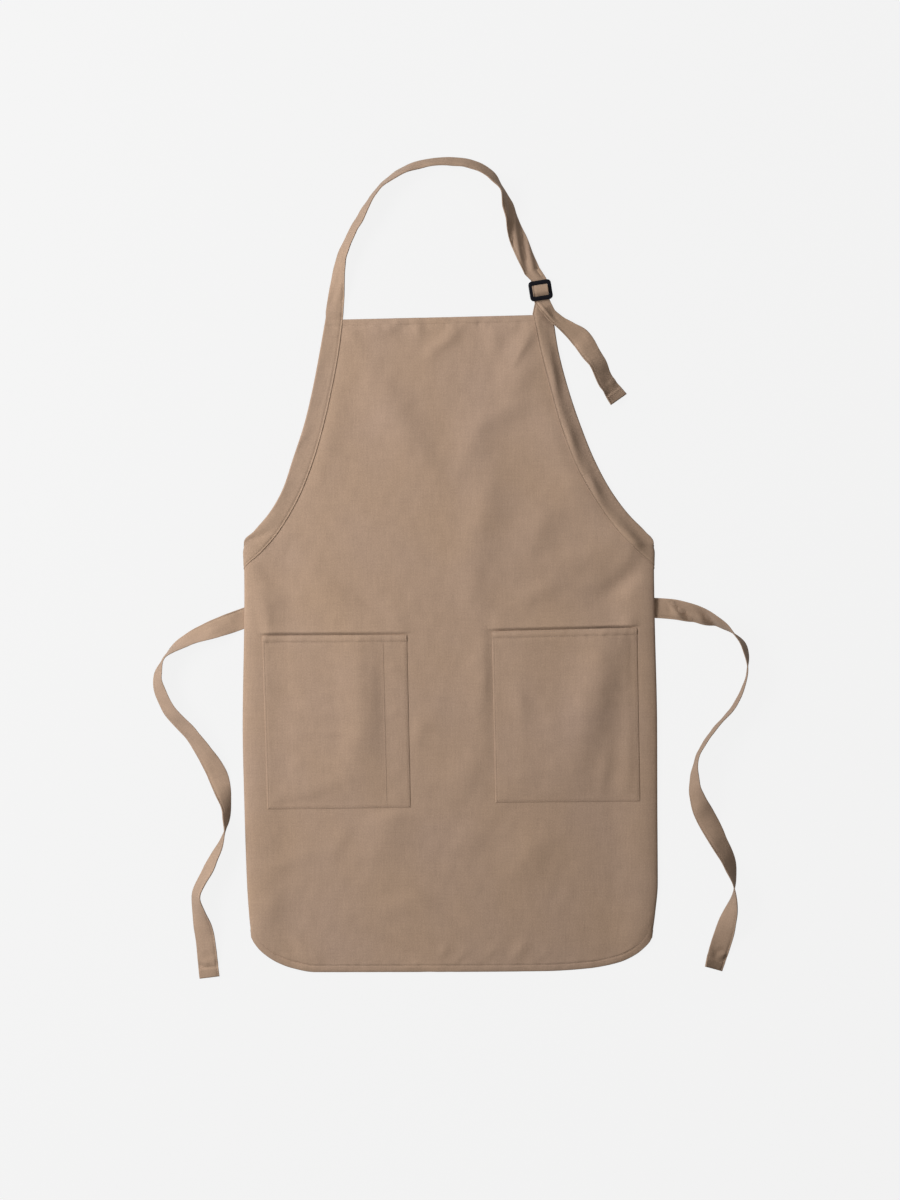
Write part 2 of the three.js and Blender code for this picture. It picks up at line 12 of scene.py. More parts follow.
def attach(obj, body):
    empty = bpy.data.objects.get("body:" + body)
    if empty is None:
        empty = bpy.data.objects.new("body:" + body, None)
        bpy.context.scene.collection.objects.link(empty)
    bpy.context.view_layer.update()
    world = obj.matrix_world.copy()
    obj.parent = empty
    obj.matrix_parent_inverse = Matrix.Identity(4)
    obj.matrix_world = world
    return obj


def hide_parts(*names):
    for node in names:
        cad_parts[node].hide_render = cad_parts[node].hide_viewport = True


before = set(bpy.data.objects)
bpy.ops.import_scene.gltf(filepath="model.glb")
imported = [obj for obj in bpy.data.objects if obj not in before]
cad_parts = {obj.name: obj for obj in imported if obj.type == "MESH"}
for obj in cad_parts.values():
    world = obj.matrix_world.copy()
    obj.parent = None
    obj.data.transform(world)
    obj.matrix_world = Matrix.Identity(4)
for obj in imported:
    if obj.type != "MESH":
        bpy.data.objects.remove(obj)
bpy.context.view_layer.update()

bl_info = {
    "name": "Bib apron",
    "version": (1, 0, 0),
    "blender": (4, 5, 0),
    "location": "View3D > Sidebar > Apron",
    "description": "Builds a twill bib apron with pockets, a neck strap, a slide buckle and waist ties",
    "category": "Add Mesh",
}

# The shapes' tables and sizes are in millimetres and degrees, and those of the looks and stage in metres.
MM = 0.001
BODY = "root"
UPRIGHT = np.array([0.0, 0.0, 1.0])

# The panel: its sides from the bib's top down, how far the cloth is turned under, and how far it curls.
Edge = namedtuple("Edge", "y left right turned curl")
PANEL_EDGES = [
    Edge(318, -152.5, 123.5, 3, 0),
    Edge(273, -160.5, 131, 3, 0),
    Edge(230, -168.5, 142, 3, 0),
    Edge(180, -180.5, 159, 3, 0),
    Edge(140, -194, 175.5, 3, 0),
    Edge(100, -208, 195, 3, 0),
    Edge(61, -231, 226, 3, 0),
    Edge(46, -244, 239.5, 3, 0),
    Edge(36, -254, 249.5, 3, 0),
    Edge(31, -258.5, 254, 0.6, 0),
    Edge(27, -261, 256.4, 1, 0.6),
    Edge(20, -262.3, 257.7, 9, 1),
    Edge(6, -261.8, 257.5, 20, 1),
    Edge(-40, -261.4, 258, 20, 1),
    Edge(-200, -263.6, 261.6, 20, 1),
    Edge(-306, -261.3, 261.9, 20, 1),
    Edge(-400, -258.1, 262.4, 20, 1),
    Edge(-438, -255.6, 259.1, 11, 1),
    Edge(-468, -252.6, 255.1, 3, 1),
]
Bottom = namedtuple("Bottom", "x y")
BOTTOM_EDGE = [
    Bottom(-253, -468),
    Bottom(-250.3, -474.5),
    Bottom(-239, -488),
    Bottom(-219, -501),
    Bottom(-200, -508),
    Bottom(-172, -512.8),
    Bottom(0, -512.5),
    Bottom(120, -511.5),
    Bottom(177, -507.8),
    Bottom(213, -500.5),
    Bottom(234, -491),
    Bottom(248, -479.7),
    Bottom(252.9, -473.8),
    Bottom(255.5, -468),
]
Rise = namedtuple("Rise", "y rise under")
EDGE_RISE = [
    Rise(318, -0.4, 0.6),
    Rise(61, -0.4, 0.6),
    Rise(40, 1.2, 1.7),
    Rise(0, 3.4, 1.9),
    Rise(-25, 3.4, 0.6),
    Rise(-438, 3.4, 0.8),
    Rise(-468, 0.4, 1.0),
]

# How the panel lies: its corners, the bib's tilt, its rolled and turned sides, and its lift over the ties.
BIB_TOP = 318
CORNER_Y = -468
CORNER_REACH = 150
TILT_START = 150
BIB_TILT = 0.0227
BIB_MIDDLE = -16
LIE_HEIGHT = 2.6
LOWEST = 0.85
ROLL_WIDTH = 15
ROLL_SHARE = 0.4
TURN_RADIUS = 3
TURN_FULL = 20
RAMP_END = 60
RELIEF_FADE = (0.3 * ROLL_WIDTH, ROLL_WIDTH + 18)
TIE_LIFT = 1.7
TIE_LEVEL = 21
TIE_FADE = 30
LEFT_TIE_Y = -64
RIGHT_TIE_Y = -51

# Hems: their width and puff, the groove of their stitches, the step beside them and their puckers.
HEM = 8.3
HEM_PUFF = 0.3
HEM_SINK = 1.3
HEM_SINK_REACH = 18
HEM_BLEND = (HEM - 1.0, HEM + 0.5)
GROOVE = 0.28
BOTTOM_GROOVE = 0.4
CORNER_GROOVE = 1.2
CORNER_STEP = 0.2
CORNER_SEAM = (150, 215)
GROOVE_WIDTH = 1.0
TOP_STEP = 0.1
BOTTOM_STEP = 0.9
STEP_BLEND = (HEM - 0.9, HEM + 0.9)
STEP_REACH = 16
PUCKER = 0.15
PUCKER_REACH = 8
PUCKER_LENGTH = 11.0
PUCKER_STRETCH = 0.6
EDGE_DROP = 0.35

# Soft folds along a heading, valleys where the height is below zero; the lee is a right flank's own width.
Fold = namedtuple("Fold", "x y heading length width height lee", defaults=(0.0,))
BODY_FOLDS = [
    Fold(-156, 163, 76, 60, 16, 2.2),
    Fold(-140, 250, 82, 50, 12, 1.2),
    Fold(-67, 188, -56, 78, 24, 4.6),
    Fold(30, 163, 72, 42, 22, 3.4),
    Fold(42, 74, 79, 62, 22, 3.6),
    Fold(30, -28, -76, 40, 18, 2.4),
    Fold(69, 198, 24, 36, 13, 2.2),
    Fold(93, 288, 55, 30, 10, 2.8),
    Fold(88, 272, 58, 24, 4, 1.3),
    Fold(85, 240, 60, 28, 18, 3.0),
    Fold(-8, 287, 38, 26, 8, 2.6),
    Fold(-105, 305, 0, 24, 4, 1.3, 14),
    Fold(74, 306, 2, 26, 4, 1.2, 13),
    Fold(-1, 307, 0, 17, 4, 0.9, 12),
    Fold(-125, 294, -55, 15, 7, 1.3),
    Fold(-80, 302, 20, 22, 8, 1.3),
    Fold(-41, 303, 110, 12, 7, 1.2),
    Fold(56, 290, 100, 16, 10, 2.0),
    Fold(140, 150, -70, 75, 18, 2.2),
    Fold(177, 86, -60, 40, 16, 1.6),
    Fold(115, -28, 24, 34, 12, 2.0),
    Fold(110, 45, 60, 34, 18, 2.6),
    Fold(150, 10, 8, 40, 14, 1.8),
    Fold(222, -15, 36, 42, 12, -3.6),
    Fold(-232, -9, -35, 28, 11, -2.2),
    Fold(-238, -58, 92, 26, 10, 1.3),
    Fold(-105, -44, -36, 30, 7, -1.5),
    Fold(-165, -18, -42, 45, 16, 2.4),
    Fold(46, -140, 85, 60, 22, 3.0),
    Fold(-39, -203, 40, 32, 18, 1.5),
    Fold(22, -259, 55, 36, 18, 1.8),
    Fold(-80, -328, 72, 50, 24, 2.8),
    Fold(26, -344, 45, 24, 16, 1.6),
    Fold(101, -362, 50, 36, 24, 2.8),
    Fold(-7, -431, -40, 34, 8, -1.5),
    Fold(-54, -425, 15, 32, 12, 1.3),
    Fold(-71, -481, -26, 46, 9, -2.0),
    Fold(-235, -430, 30, 30, 16, 2.0),
    Fold(-189, -482, -50, 20, 7, 1.8),
    Fold(-172, -492, -60, 12, 6, 1.2),
    Fold(-207, -373, 18, 30, 11, 1.1),
    Fold(-143, -348, 60, 20, 11, 1.0),
    Fold(-9, -486, 50, 11, 5, 0.9),
    Fold(16, -490, 55, 9, 4, 0.7),
    Fold(52, -486, 48, 12, 5, 0.9),
    Fold(88, -484, 50, 13, 6, 1.1),
    Fold(122, -487, 52, 10, 5, 0.8),
]
ARMHOLE_FOLDS = [
    Fold(-215, 97, 65, 22, 7, 1.2),
    Fold(-248, 38, 24, 18, 4, -1.5),
    Fold(-232, 58, 40, 20, 6, 0.9),
    Fold(-192, 160, 55, 20, 4, 0.9),
    Fold(-184, 200, 76, 60, 14, 1.0),
    Fold(-170, 270, 80, 40, 14, 1.0),
    Fold(120, 262, -77, 60, 13, 5.4, 60),
    Fold(149, 172, -70, 42, 12, 3.8, 60),
    Fold(176, 110, -61, 38, 12, 3.8, 60),
    Fold(220, 44, -46, 42, 12, 5.4, 60),
    Fold(131, 244, -79, 34, 5, 2.4),
    Fold(153, 163, -72, 28, 5, 2.2),
    Fold(183, 102, -64, 19, 5, 2.0),
    Fold(229, 38, -48, 26, 6, 2.6),
]
POCKET_FOLDS = [
    Fold(-117, -155, 97, 62, 21, 3.2),
    Fold(-121, -231, 75, 40, 18, 2.2),
    Fold(-85, -193, 91.3, 105, 12, -1.5),
    Fold(-204, -161, -39, 23, 10, -1.4),
    Fold(-178, -282, 15, 34, 10, 1.5),
    Fold(-70, -125, 20, 13, 6, 0.6),
    Fold(-71, -183, 35, 13, 6, 0.6),
    Fold(-66, -254, 25, 13, 6, 0.6),
    Fold(-150, -209, 0, 34, 4, 0.5),
    Fold(183, -158, 74, 92, 28, 7.2),
    Fold(195, -258, 80, 30, 8, 1.2),
    Fold(88, -171, 100, 22, 10, 1.5),
    Fold(129, -200, 95, 26, 16, 1.5),
    Fold(230, -235, 84, 75, 15, 1.7),
]

# Small ripples: their height, about how long they are, and the seeds that keep all chance draws the same.
Ripples = namedtuple("Ripples", "height size seed")
PANEL_RIPPLES = [Ripples(0.09, 26.0, 3), Ripples(0.025, 9.0, 4)]
POCKET_RIPPLES = [Ripples(0.09, 24.0, 8), Ripples(0.025, 8.0, 9)]
RIPPLE_LENGTHS = (0.7, 1.5)
TOP_HEM_SEED = 5
BOTTOM_HEM_SEED = 6
POCKET_HEM_SEED = 7
NECK_SEED = 11
FREE_END_SEED = 12
LEFT_TIE_SEED = 13
RIGHT_TIE_SEED = 14
CREASE_SEED = 20

# Patch pockets by their corners, with the height of the panel's fold above each end of the mouth.
Pocket = namedtuple("Pocket", "name top_left top_right bottom_right bottom_left mouth_left mouth_right")
POCKETS = [
    Pocket("left", (-239, -86), (-56, -85), (-51, -304), (-232.5, -306), 3.9, 2.0),
    Pocket("right", (52.5, -80.5), (236, -76), (240, -296), (57, -297.5), 2.8, 3.8),
]
CORNERS = ("top_left", "top_right", "bottom_right", "bottom_left")

# How the pockets lie on the panel: their height, edges and swell, and the gap and fold at their mouths.
POCKET_RISE = 0.8
POCKET_DROP = 0.55
LEAST_STEP = 0.15
POCKET_SWELL = 1.6
SWELL_BLEND = (2, 45)
FOLD_BLEND = (1, 16)
RIPPLE_BLEND = (1, 10)
COVER_BLEND = (-14, 2)
POCKET_EDGE = 1.8
PEN_SLOT = 30.5
WEAVE_SHIFT = 0.37
MOUTH_EDGE = 0.3
MOUTH_START = 4.4
MOUTH_REACH = 17
MOUTH_GAP = 0.4
MOUTH_GAP_REACH = 3.0
MOUTH_OUT = 8
MOUTH_IN = 10

# Bindings of the armholes, from the waist up: the folded outer edge and the sewn inner edge.
Binding = namedtuple("Binding", "out_x out_y in_x in_y")
LEFT_BINDING = [
    Binding(-262.6, 27, -266, -6),
    Binding(-262.4, 33.4, -261.2, 0.5),
    Binding(-250, 46.7, -240, 21),
    Binding(-237.5, 61, -218.5, 46.5),
    Binding(-216.8, 92.7, -196, 84),
    Binding(-200, 140, -176.5, 131),
    Binding(-186, 183, -162.5, 178),
    Binding(-175, 229.5, -151.5, 226),
    Binding(-166.5, 274, -143, 271.5),
    Binding(-158.8, 318, -137, 317),
]
RIGHT_BINDING = [
    Binding(258, 27, 261, -5),
    Binding(257.6, 33.2, 256.8, 2),
    Binding(247.5, 46, 237, 21),
    Binding(232.7, 61, 212, 46),
    Binding(206.5, 94, 184.5, 84),
    Binding(182, 139, 158.5, 130),
    Binding(166.6, 177, 142, 172),
    Binding(147.3, 235, 124.6, 233),
    Binding(137.5, 273, 114.6, 271),
    Binding(129.4, 324, 104, 322.5),
]

# Folded strips: half their thickness, the gap in their fold, their seam, and the steps along them.
BINDING_HALF = 1.4
BINDING_GAP = 0.6
STRIP_HALF = 0.75
STRIP_GAP = 0.06
LOOP_HALF = 0.6
LIP = 0.25
LIP_SHARE = 0.5
SEAM_INSET = 1.8
SEAM_GROOVE = 0.6
STATION = 1.6
HEIGHT_REACH = 24.0

# Free runs of strip: the middle line, the roll that lifts one edge, the width, and the lift off the floor.
Run = namedtuple("Run", "x y roll width lift pleat", defaults=(25.4, 0.0, 0.0))
NECK_RUN = [
    Run(-147.6, 324, 4, 22.5, 1.2),
    Run(-145.6, 343, 12, 21, 0.4, 0.4),
    Run(-143.2, 364.5, 26, 19.5, pleat=0.4),
    Run(-141.4, 380, 40, 19.5, pleat=0.3),
    Run(-138.2, 395, 53, 20),
    Run(-129.3, 417, 63, 22),
    Run(-112.3, 448.3, 68),
    Run(-97.4, 474, 79),
    Run(-66.5, 501, 68, 22),
    Run(-29.2, 514.2, 48, 15.5),
    Run(1.7, 516, 44, 15),
    Run(26, 512.6, 43, 15.5),
    Run(49.5, 500.5, 56, 18.5),
    Run(64, 482, 77, 23),
    Run(73.3, 458.5, 56, 23, pleat=0.8),
    Run(81, 430.5, 33, 23.5, pleat=1.4),
    Run(92, 402.2, 20, 23, 0.3, 1.5),
    Run(103.3, 377, 8, 21, 2, 1.3),
]
FREE_END = [
    Run(121.2, 330.5, 22, 18, 3.6),
    Run(127.5, 321.8, 14, 15, 4.2, 0.2),
    Run(136.5, 314, 4, 15, 4, 0.2),
    Run(150, 304, -10, 19, 2, 0.2),
    Run(165.4, 291.5, -5, lift=0.3, pleat=0.2),
    Run(178, 273, 20),
    Run(185.8, 261.6, 33),
    Run(196.5, 238.3, 35),
    Run(213.6, 213.9, 16),
]
LEFT_TIE = [
    Run(-243, -56.8, 0),
    Run(-270, -66.6, 0),
    Run(-297.4, -76.6, -22),
    Run(-333.9, -91.4, -42, 20.5),
    Run(-363, -113.8, -86),
    Run(-371, -136, -65),
    Run(-359, -176.5, -50),
    Run(-330.2, -209.6, -46),
    Run(-311, -236, -32),
    Run(-296.2, -262, -6),
    Run(-289, -284, 22, 22),
    Run(-284.5, -305.7, 50, 17),
    Run(-286.9, -334.9, 92),
    Run(-307.7, -382.5, 120),
    Run(-323.1, -417.7, 116),
    Run(-319.4, -438, 132),
    Run(-314.2, -457.8, 158),
    Run(-306.4, -520, 180),
]
RIGHT_TIE = [
    Run(240, -50.2, 0),
    Run(268, -51, 0),
    Run(288, -53.1, -14, lift=2.4),
    Run(318.1, -61.1, -37, lift=2.0),
    Run(347, -73.9, -75),
    Run(372.4, -100.3, -106),
    Run(376.2, -127.9, -94),
    Run(360, -174, -84),
    Run(333.1, -205.7, -86),
    Run(312, -242, -84),
    Run(309.4, -273.6, -62),
    Run(337.9, -342.8, 24),
    Run(352.8, -372.1, 47),
    Run(359.8, -409.6, 90),
    Run(350.9, -449.6, 148),
    Run(333.1, -508.5, 206),
]
TIE_FOLDS = [
    Fold(295, -56, -43, 19, 5.5, -5.2, 3),
    Fold(287, -57.5, -43, 11, 3, 3),
    Fold(278, -51, -50, 9, 3, -1.6, 2.4),
    Fold(325, -63, -43, 14, 5, -3.8, 2.8),
    Fold(317.5, -64, -43, 7, 2.8, 1.8),
    Fold(-300, -80, 30, 15, 5, 1.2),
    Fold(120, 325.5, -46, 13, 2, 2.4),
]

# Ends of the runs with their hem and creases, and the pleats, ripples and cupped faces along them.
END_HEM = 12
END_HALF = 0.7
END_STEP = 0.7
END_GROOVE = 0.4
END_GROOVE_PLACE = 1.2
END_GROOVE_WIDTH = 1.4
END_CREASE = 0.55
CREASE_LENGTH = 13.0
CREASE_PLACE = 8.0
CREASE_REACH = 9.0
BINDING_END = 16.0
PLEAT_START = 1.2
PLEAT_DRIFT = 0.11
PLEATS = 3.0
STRIP_RIPPLE = 0.22
STRIP_RIPPLE_SIZE = 26.0
CUP = 0.5
CUP_LENGTH = 37.0
FLOOR_CLEAR = 0.02

# The slide buckle, and the two strips that pass through it, by distance along its heading and height.
BUCKLE_X = 114
BUCKLE_Y = 352.4
BUCKLE_HEADING = 99
BUCKLE_WIDTH = 29
BUCKLE_LENGTH = 25.4
BUCKLE_UNDERSIDE = 4.7
BUCKLE_THICK = 2.0
BUCKLE_BEVEL = 0.7
END_BAR = 5.5
MIDDLE_BAR = 4
SIDE_BAR = 4.6
OUTER_CORNER = 5
INNER_CORNER = 1.5
OUTER_STEPS = 7
INNER_STEPS = 4
RIM_STEPS = 3
ROUND_PROFILE = 0.5
SHARP_ANGLE = 0.5
Pass = namedtuple("Pass", "along z")
STRAP_WEAVE = [
    Pass(14, 3.8),
    Pass(8.5, 3.9),
    Pass(7, 5.2),
    Pass(5.2, 7.2),
    Pass(3, 8.8),
    Pass(0, 9.2),
    Pass(-3, 8.8),
    Pass(-5.2, 7.2),
    Pass(-7, 5.2),
    Pass(-8.5, 3.9),
    Pass(-14, 3.8),
]
WEAVE_WIDTH = 19.6
BUCKLE_LOOP = [
    Pass(-15, 2.3),
    Pass(-8.5, 2.35),
    Pass(-6, 3.6),
    Pass(-4, 5.9),
    Pass(-2.2, 7.3),
    Pass(0, 7.65),
    Pass(1.9, 7.3),
    Pass(3, 6.4),
    Pass(3, 5),
    Pass(1.9, 4),
    Pass(0, 3.7),
    Pass(-2, 3.3),
    Pass(-4.5, 2.2),
    Pass(-7, 1.1),
    Pass(-11, 0.8),
    Pass(-24, 0.8),
]
LOOP_WIDTH = 19
PASS_STEPS = 5

# Points round a folded strip: shares of its width across one layer, turns of its fold and points in its slot.
LAYER_SHARES = np.concatenate([np.linspace(1.0, 0.9, 5), np.linspace(0.86, 0.1, 11), [0.04, 0.0]])
FOLD_TURNS = 4
SLOT_POINTS = 4

# Columns and rows of the panel's and the pockets' meshes.
ROLL_STEPS = 8
TURN_STEPS = 8
MARGIN = 32
MARGIN_STEPS = 5
INNER_COLUMNS = 122
ROW_STEP = 4.0
HEM_ROW = 0.8
HEM_ROWS_END = 16
HEM_ROWS_SPREAD = (0.0, 1.2, 3.0, 5.5)
MOUTH_LOW = -92
MOUTH_HIGH = -65
MOUTH_ROW = 1.0
POCKET_STEP = 3.2
POCKET_NEAR = (0.0, 0.5, 1.1, 1.8, 2.5, 3.3, 4.6, 6.2, 7.3, 8.3, 9.3, 10.6)

# Stitches: their share of the pitch, how far they stand out of the cloth, and where their lines run.
STITCH_SHARE = 0.72
STITCH_AIM = 0.3
STITCH_SIDES = 5
THREAD_OUT = 0.08
POCKET_THREAD_OUT = 0.02
BINDING_THREAD_OUT = 0.06
TOP_HEM_ENDS = (-134.0, 102.0)
BOTTOM_HEM_ENDS = (-240.0, 242.0)
HEM_LINE_STEP = 1.5
POCKET_LINE_POINTS = 140
BINDING_LINE_START = 0.06
BINDING_LINE_POINTS = 160
END_LINE_POINTS = 12
END_LINE_INSET = 2.0

# Twill: its slanting ribs and its yarns, and how they show.
RIB_ACROSS = 0.75
RIB_ALONG = 0.66
RIB_SHARE = 0.6
YARNS = 1.9
YARN_SHARE = 0.3
WEAVE_SHADE = 0.1
WEAVE_BUMP = {"Strength": 0.5, "Distance": 0.00012}
CLOTH_ROUGHNESS = 0.9
SLUB_ROUGHNESS = 0.15
SLUB_HEIGHT = 1.2
WARM_RED = 0.25

# Uneven parts of the twill's colour: how often they change across and along a metre, and how much they show.
Uneven = namedtuple("Uneven", "across along detail share")
SLUB = Uneven(420.0, 38.0, 2.0, 0.13)
CROSS_SLUB = Uneven(30.0, 380.0, 2.0, 0.08)
MOTTLE = Uneven(70.0, 55.0, 3.0, 0.1)
GRAIN = Uneven(620.0, 520.0, 1.0, 0.28)
TONE = Uneven(9.0, 7.0, 2.0, 0.12)

# Inputs of the materials' shaders, the fill light's colour, the camera's film in millimetres and its reach.
TWILL_FINISH = {
    "Specular IOR Level": 0.2,
    "Sheen Weight": 0.25,
    "Sheen Roughness": 0.5,
    "Sheen Tint": (1.0, 0.93, 0.86, 1.0),
}
PLASTIC_FINISH = {"Roughness": 0.34, "Specular IOR Level": 0.3}
SKIN_SCALE = 900.0
SKIN_BUMP = {"Strength": 0.15, "Distance": 0.0002}
THREAD_FINISH = {"Roughness": 0.7}
FLOOR_FINISH = {"Roughness": 1.0, "Specular IOR Level": 0.0}
FILL_COLOUR = (1.0, 0.95, 0.89, 1.0)
FILM_WIDTH = 36.0
CLIP_END = 200.0


def smooth(low, high, value):
    """0 below low, 1 above high and an even curve between."""
    share = np.clip((value - low) / (high - low), 0.0, 1.0)
    return share * share * (3.0 - 2.0 * share)


def mix(first, second, share):
    """Value between two others."""
    return first + (second - first) * share


def hermite(at, value, slope):
    """Curve through values with those slopes, held level outside its ends."""
    step = np.diff(at)

    def found(position):
        place = np.clip(position, at[0], at[-1])
        index = np.clip(np.searchsorted(at, place, side="right") - 1, 0, len(at) - 2)
        share = (place - at[index]) / step[index]
        square = share * share
        cube = square * share
        leave = (cube - 2 * square + share) * step[index] * slope[index]
        arrive = (cube - square) * step[index] * slope[index + 1]
        start = (2 * cube - 3 * square + 1) * value[index] + leave
        end = (3 * square - 2 * cube) * value[index + 1] + arrive
        return start + end

    return found


def monotone(at, value):
    """Curve through values that never overshoots them."""
    secant = np.diff(value) / np.diff(at)
    slope = np.zeros_like(value)
    slope[0] = secant[0]
    slope[-1] = secant[-1]
    product = secant[:-1] * secant[1:]
    total = secant[:-1] + secant[1:]
    even = product > 0.0
    slope[1:-1][even] = 2.0 * product[even] / total[even]
    return hermite(at, value, slope)


def flowing(at, value):
    """Rounded curve through values, for routes."""
    step = np.diff(at)
    secant = np.diff(value) / step
    slope = np.zeros_like(value)
    slope[0] = secant[0]
    slope[-1] = secant[-1]
    slope[1:-1] = (step[:-1] * secant[1:] + step[1:] * secant[:-1]) / (step[:-1] + step[1:])
    return hermite(at, value, slope)


def running(steps):
    """Distance from the start at each point, by the steps between them."""
    return np.concatenate([[0.0], np.cumsum(steps)])


def unit(vectors):
    """The same directions, each 1 long."""
    return vectors / np.linalg.norm(vectors, axis=-1, keepdims=True)


def values(rows, name):
    """One column of a table as an array."""
    return np.array([getattr(row, name) for row in rows], dtype=float)


def column(rows, key, name):
    """One column of a table as a curve over another."""
    order = np.argsort(values(rows, key))
    return monotone(values(rows, key)[order], values(rows, name)[order])


left_edge = column(PANEL_EDGES, "y", "left")
right_edge = column(PANEL_EDGES, "y", "right")
turned_under = column(PANEL_EDGES, "y", "turned")
side_curl = column(PANEL_EDGES, "y", "curl")
bottom_edge = column(BOTTOM_EDGE, "x", "y")
edge_rise = column(EDGE_RISE, "y", "rise")
under_height = column(EDGE_RISE, "y", "under")


def relief(folds, x, y):
    """Height of a table of folds at points of the plan."""
    total = np.zeros(np.broadcast(x, y).shape)
    for fold in folds:
        angle = math.radians(fold.heading)
        along = (x - fold.x) * math.cos(angle) + (y - fold.y) * math.sin(angle)
        across = (y - fold.y) * math.cos(angle) - (x - fold.x) * math.sin(angle)
        width = np.where(across < 0.0, fold.lee or fold.width, fold.width)
        total += fold.height * np.exp(-(along / fold.length) ** 2 - (across / width) ** 2)
    return total


def ripple(x, y, size, seed, waves=28):
    """Small uneven ripples about as long as size, near 1 high, the same every time."""
    chance = np.random.default_rng(seed)
    total = np.zeros(np.broadcast(x, y).shape)
    for _ in range(waves):
        angle = chance.uniform(0.0, math.pi)
        length = size * chance.uniform(*RIPPLE_LENGTHS)
        phase = chance.uniform(0.0, 2.0 * math.pi)
        total += np.sin(2.0 * math.pi * (x * math.cos(angle) + y * math.sin(angle)) / length + phase)
    return total * math.sqrt(2.0 / waves)


def ripples(table, x, y):
    """Height of a table of ripples at points of the plan."""
    return sum(row.height * ripple(x, y, row.size, row.seed) for row in table)


def groove_at(distance, depth):
    """Height of a sewn groove, by the distance from its stitches."""
    return -depth * np.exp(-(distance / GROOVE_WIDTH) ** 2)


def row_y(row, x):
    """Place up the apron of a row of the panel, which follows the bib's tilted top and the round bottom."""
    low = 1.0 - smooth(CORNER_Y, CORNER_Y + CORNER_REACH, row)
    high = smooth(TILT_START, BIB_TOP, row)
    return row + low * (bottom_edge(x) - CORNER_Y) + high * BIB_TILT * (x - BIB_MIDDLE)


def row_at(x, y, rounds=14):
    """Row of the panel at a point of the plan."""
    row = np.array(y, dtype=float)
    for _ in range(rounds):
        row = y - (row_y(row, x) - row)
    return row


def bottom_stretch(x, reach=1.0):
    """Length along the bottom edge for each unit across."""
    slope = (bottom_edge(x + reach) - bottom_edge(x - reach)) / (2.0 * reach)
    return np.sqrt(1.0 + slope * slope)


def hem_depths(x, y):
    """Distances from the bib's top edge and from the bottom edge."""
    top = row_y(np.full_like(x, BIB_TOP), x) - y
    bottom = (y - bottom_edge(x)) / bottom_stretch(x)
    return top, bottom


def hem_shape(depth, along, step, groove_depth, seed):
    """Height of a hem: a puffed band, the step down to it at its stitches and the puckers beside them."""
    share = np.clip(depth / HEM, 0.0, 1.0)
    band = HEM_PUFF * (1.0 - (2.0 * share - 1.0) ** 2)
    groove = groove_at(depth - HEM, groove_depth)
    near = np.exp(-((depth - HEM) / PUCKER_REACH) ** 2)
    pucker = PUCKER * ripple(along, PUCKER_STRETCH * depth, PUCKER_LENGTH, seed) * near
    past = np.clip(depth - HEM, 0.0, None)
    rise = step * smooth(*STEP_BLEND, depth) * np.exp(-past / STEP_REACH)
    drop = -EDGE_DROP * np.exp(-np.clip(depth, 0.0, None))
    return band + groove + pucker + rise + drop


def pocket_inside(pocket, x, y):
    """Distance inside a pocket's outline, below zero outside it."""
    corners = [getattr(pocket, name) for name in CORNERS]
    nearest = np.full(np.broadcast(x, y).shape, np.inf)
    for start, end in zip(corners, corners[1:] + corners[:1]):
        run = np.hypot(end[0] - start[0], end[1] - start[1])
        inward = ((end[1] - start[1]) * (x - start[0]) - (end[0] - start[0]) * (y - start[1])) / run
        nearest = np.minimum(nearest, inward)
    return nearest


def mouth_fold(pocket, x, y):
    """Height of the fold that the panel makes above a pocket's mouth."""
    start = pocket.top_left
    end = pocket.top_right
    run = math.hypot(end[0] - start[0], end[1] - start[1])
    along = ((x - start[0]) * (end[0] - start[0]) + (y - start[1]) * (end[1] - start[1])) / run
    above = ((y - start[1]) * (end[0] - start[0]) - (x - start[0]) * (end[1] - start[1])) / run
    height = mix(pocket.mouth_left, pocket.mouth_right, np.clip(along / run, 0.0, 1.0))
    ends = smooth(-MOUTH_OUT, MOUTH_IN, along) * (1.0 - smooth(run - MOUTH_IN, run + MOUTH_OUT, along))
    clear = np.clip(above - MOUTH_START, 0.0, None)
    gap = MOUTH_GAP * smooth(-MOUTH_GAP_REACH, 0.0, above) * (1.0 - smooth(0.0, MOUTH_START, above))
    return ends * (height * smooth(MOUTH_EDGE, MOUTH_START, above) * np.exp(-clear / MOUTH_REACH) - gap)


def panel_relief(x, y):
    """Height of the panel's folds, ripples and hems above its plain form."""
    cover = np.zeros(np.broadcast(x, y).shape)
    mouths = np.zeros_like(cover)
    for pocket in POCKETS:
        cover = np.maximum(cover, smooth(*COVER_BLEND, pocket_inside(pocket, x, y)))
        mouths += mouth_fold(pocket, x, y)
    top, bottom = hem_depths(x, y)
    waves = ripples(PANEL_RIPPLES, x, y)
    left_corner = smooth(*CORNER_SEAM, -x)
    step = mix(BOTTOM_STEP, CORNER_STEP, left_corner)
    groove = mix(BOTTOM_GROOVE, CORNER_GROOVE, left_corner)
    hems = hem_shape(top, x, TOP_STEP, GROOVE, TOP_HEM_SEED)
    hems = hems + hem_shape(bottom, x, step, groove, BOTTOM_HEM_SEED)
    sink = HEM_SINK * np.exp(-np.clip(np.minimum(top, bottom), 0.0, None) / HEM_SINK_REACH)
    return (relief(BODY_FOLDS + ARMHOLE_FOLDS, x, y) + waves) * (1.0 - cover) + mouths + hems - sink


def tie_rise(row, on_left):
    """Lift of the panel's side where a tie passes under it."""
    distance = np.abs(row - np.where(on_left, LEFT_TIE_Y, RIGHT_TIE_Y))
    return TIE_LIFT * (1.0 - smooth(TIE_LEVEL, TIE_LEVEL + TIE_FADE, distance))


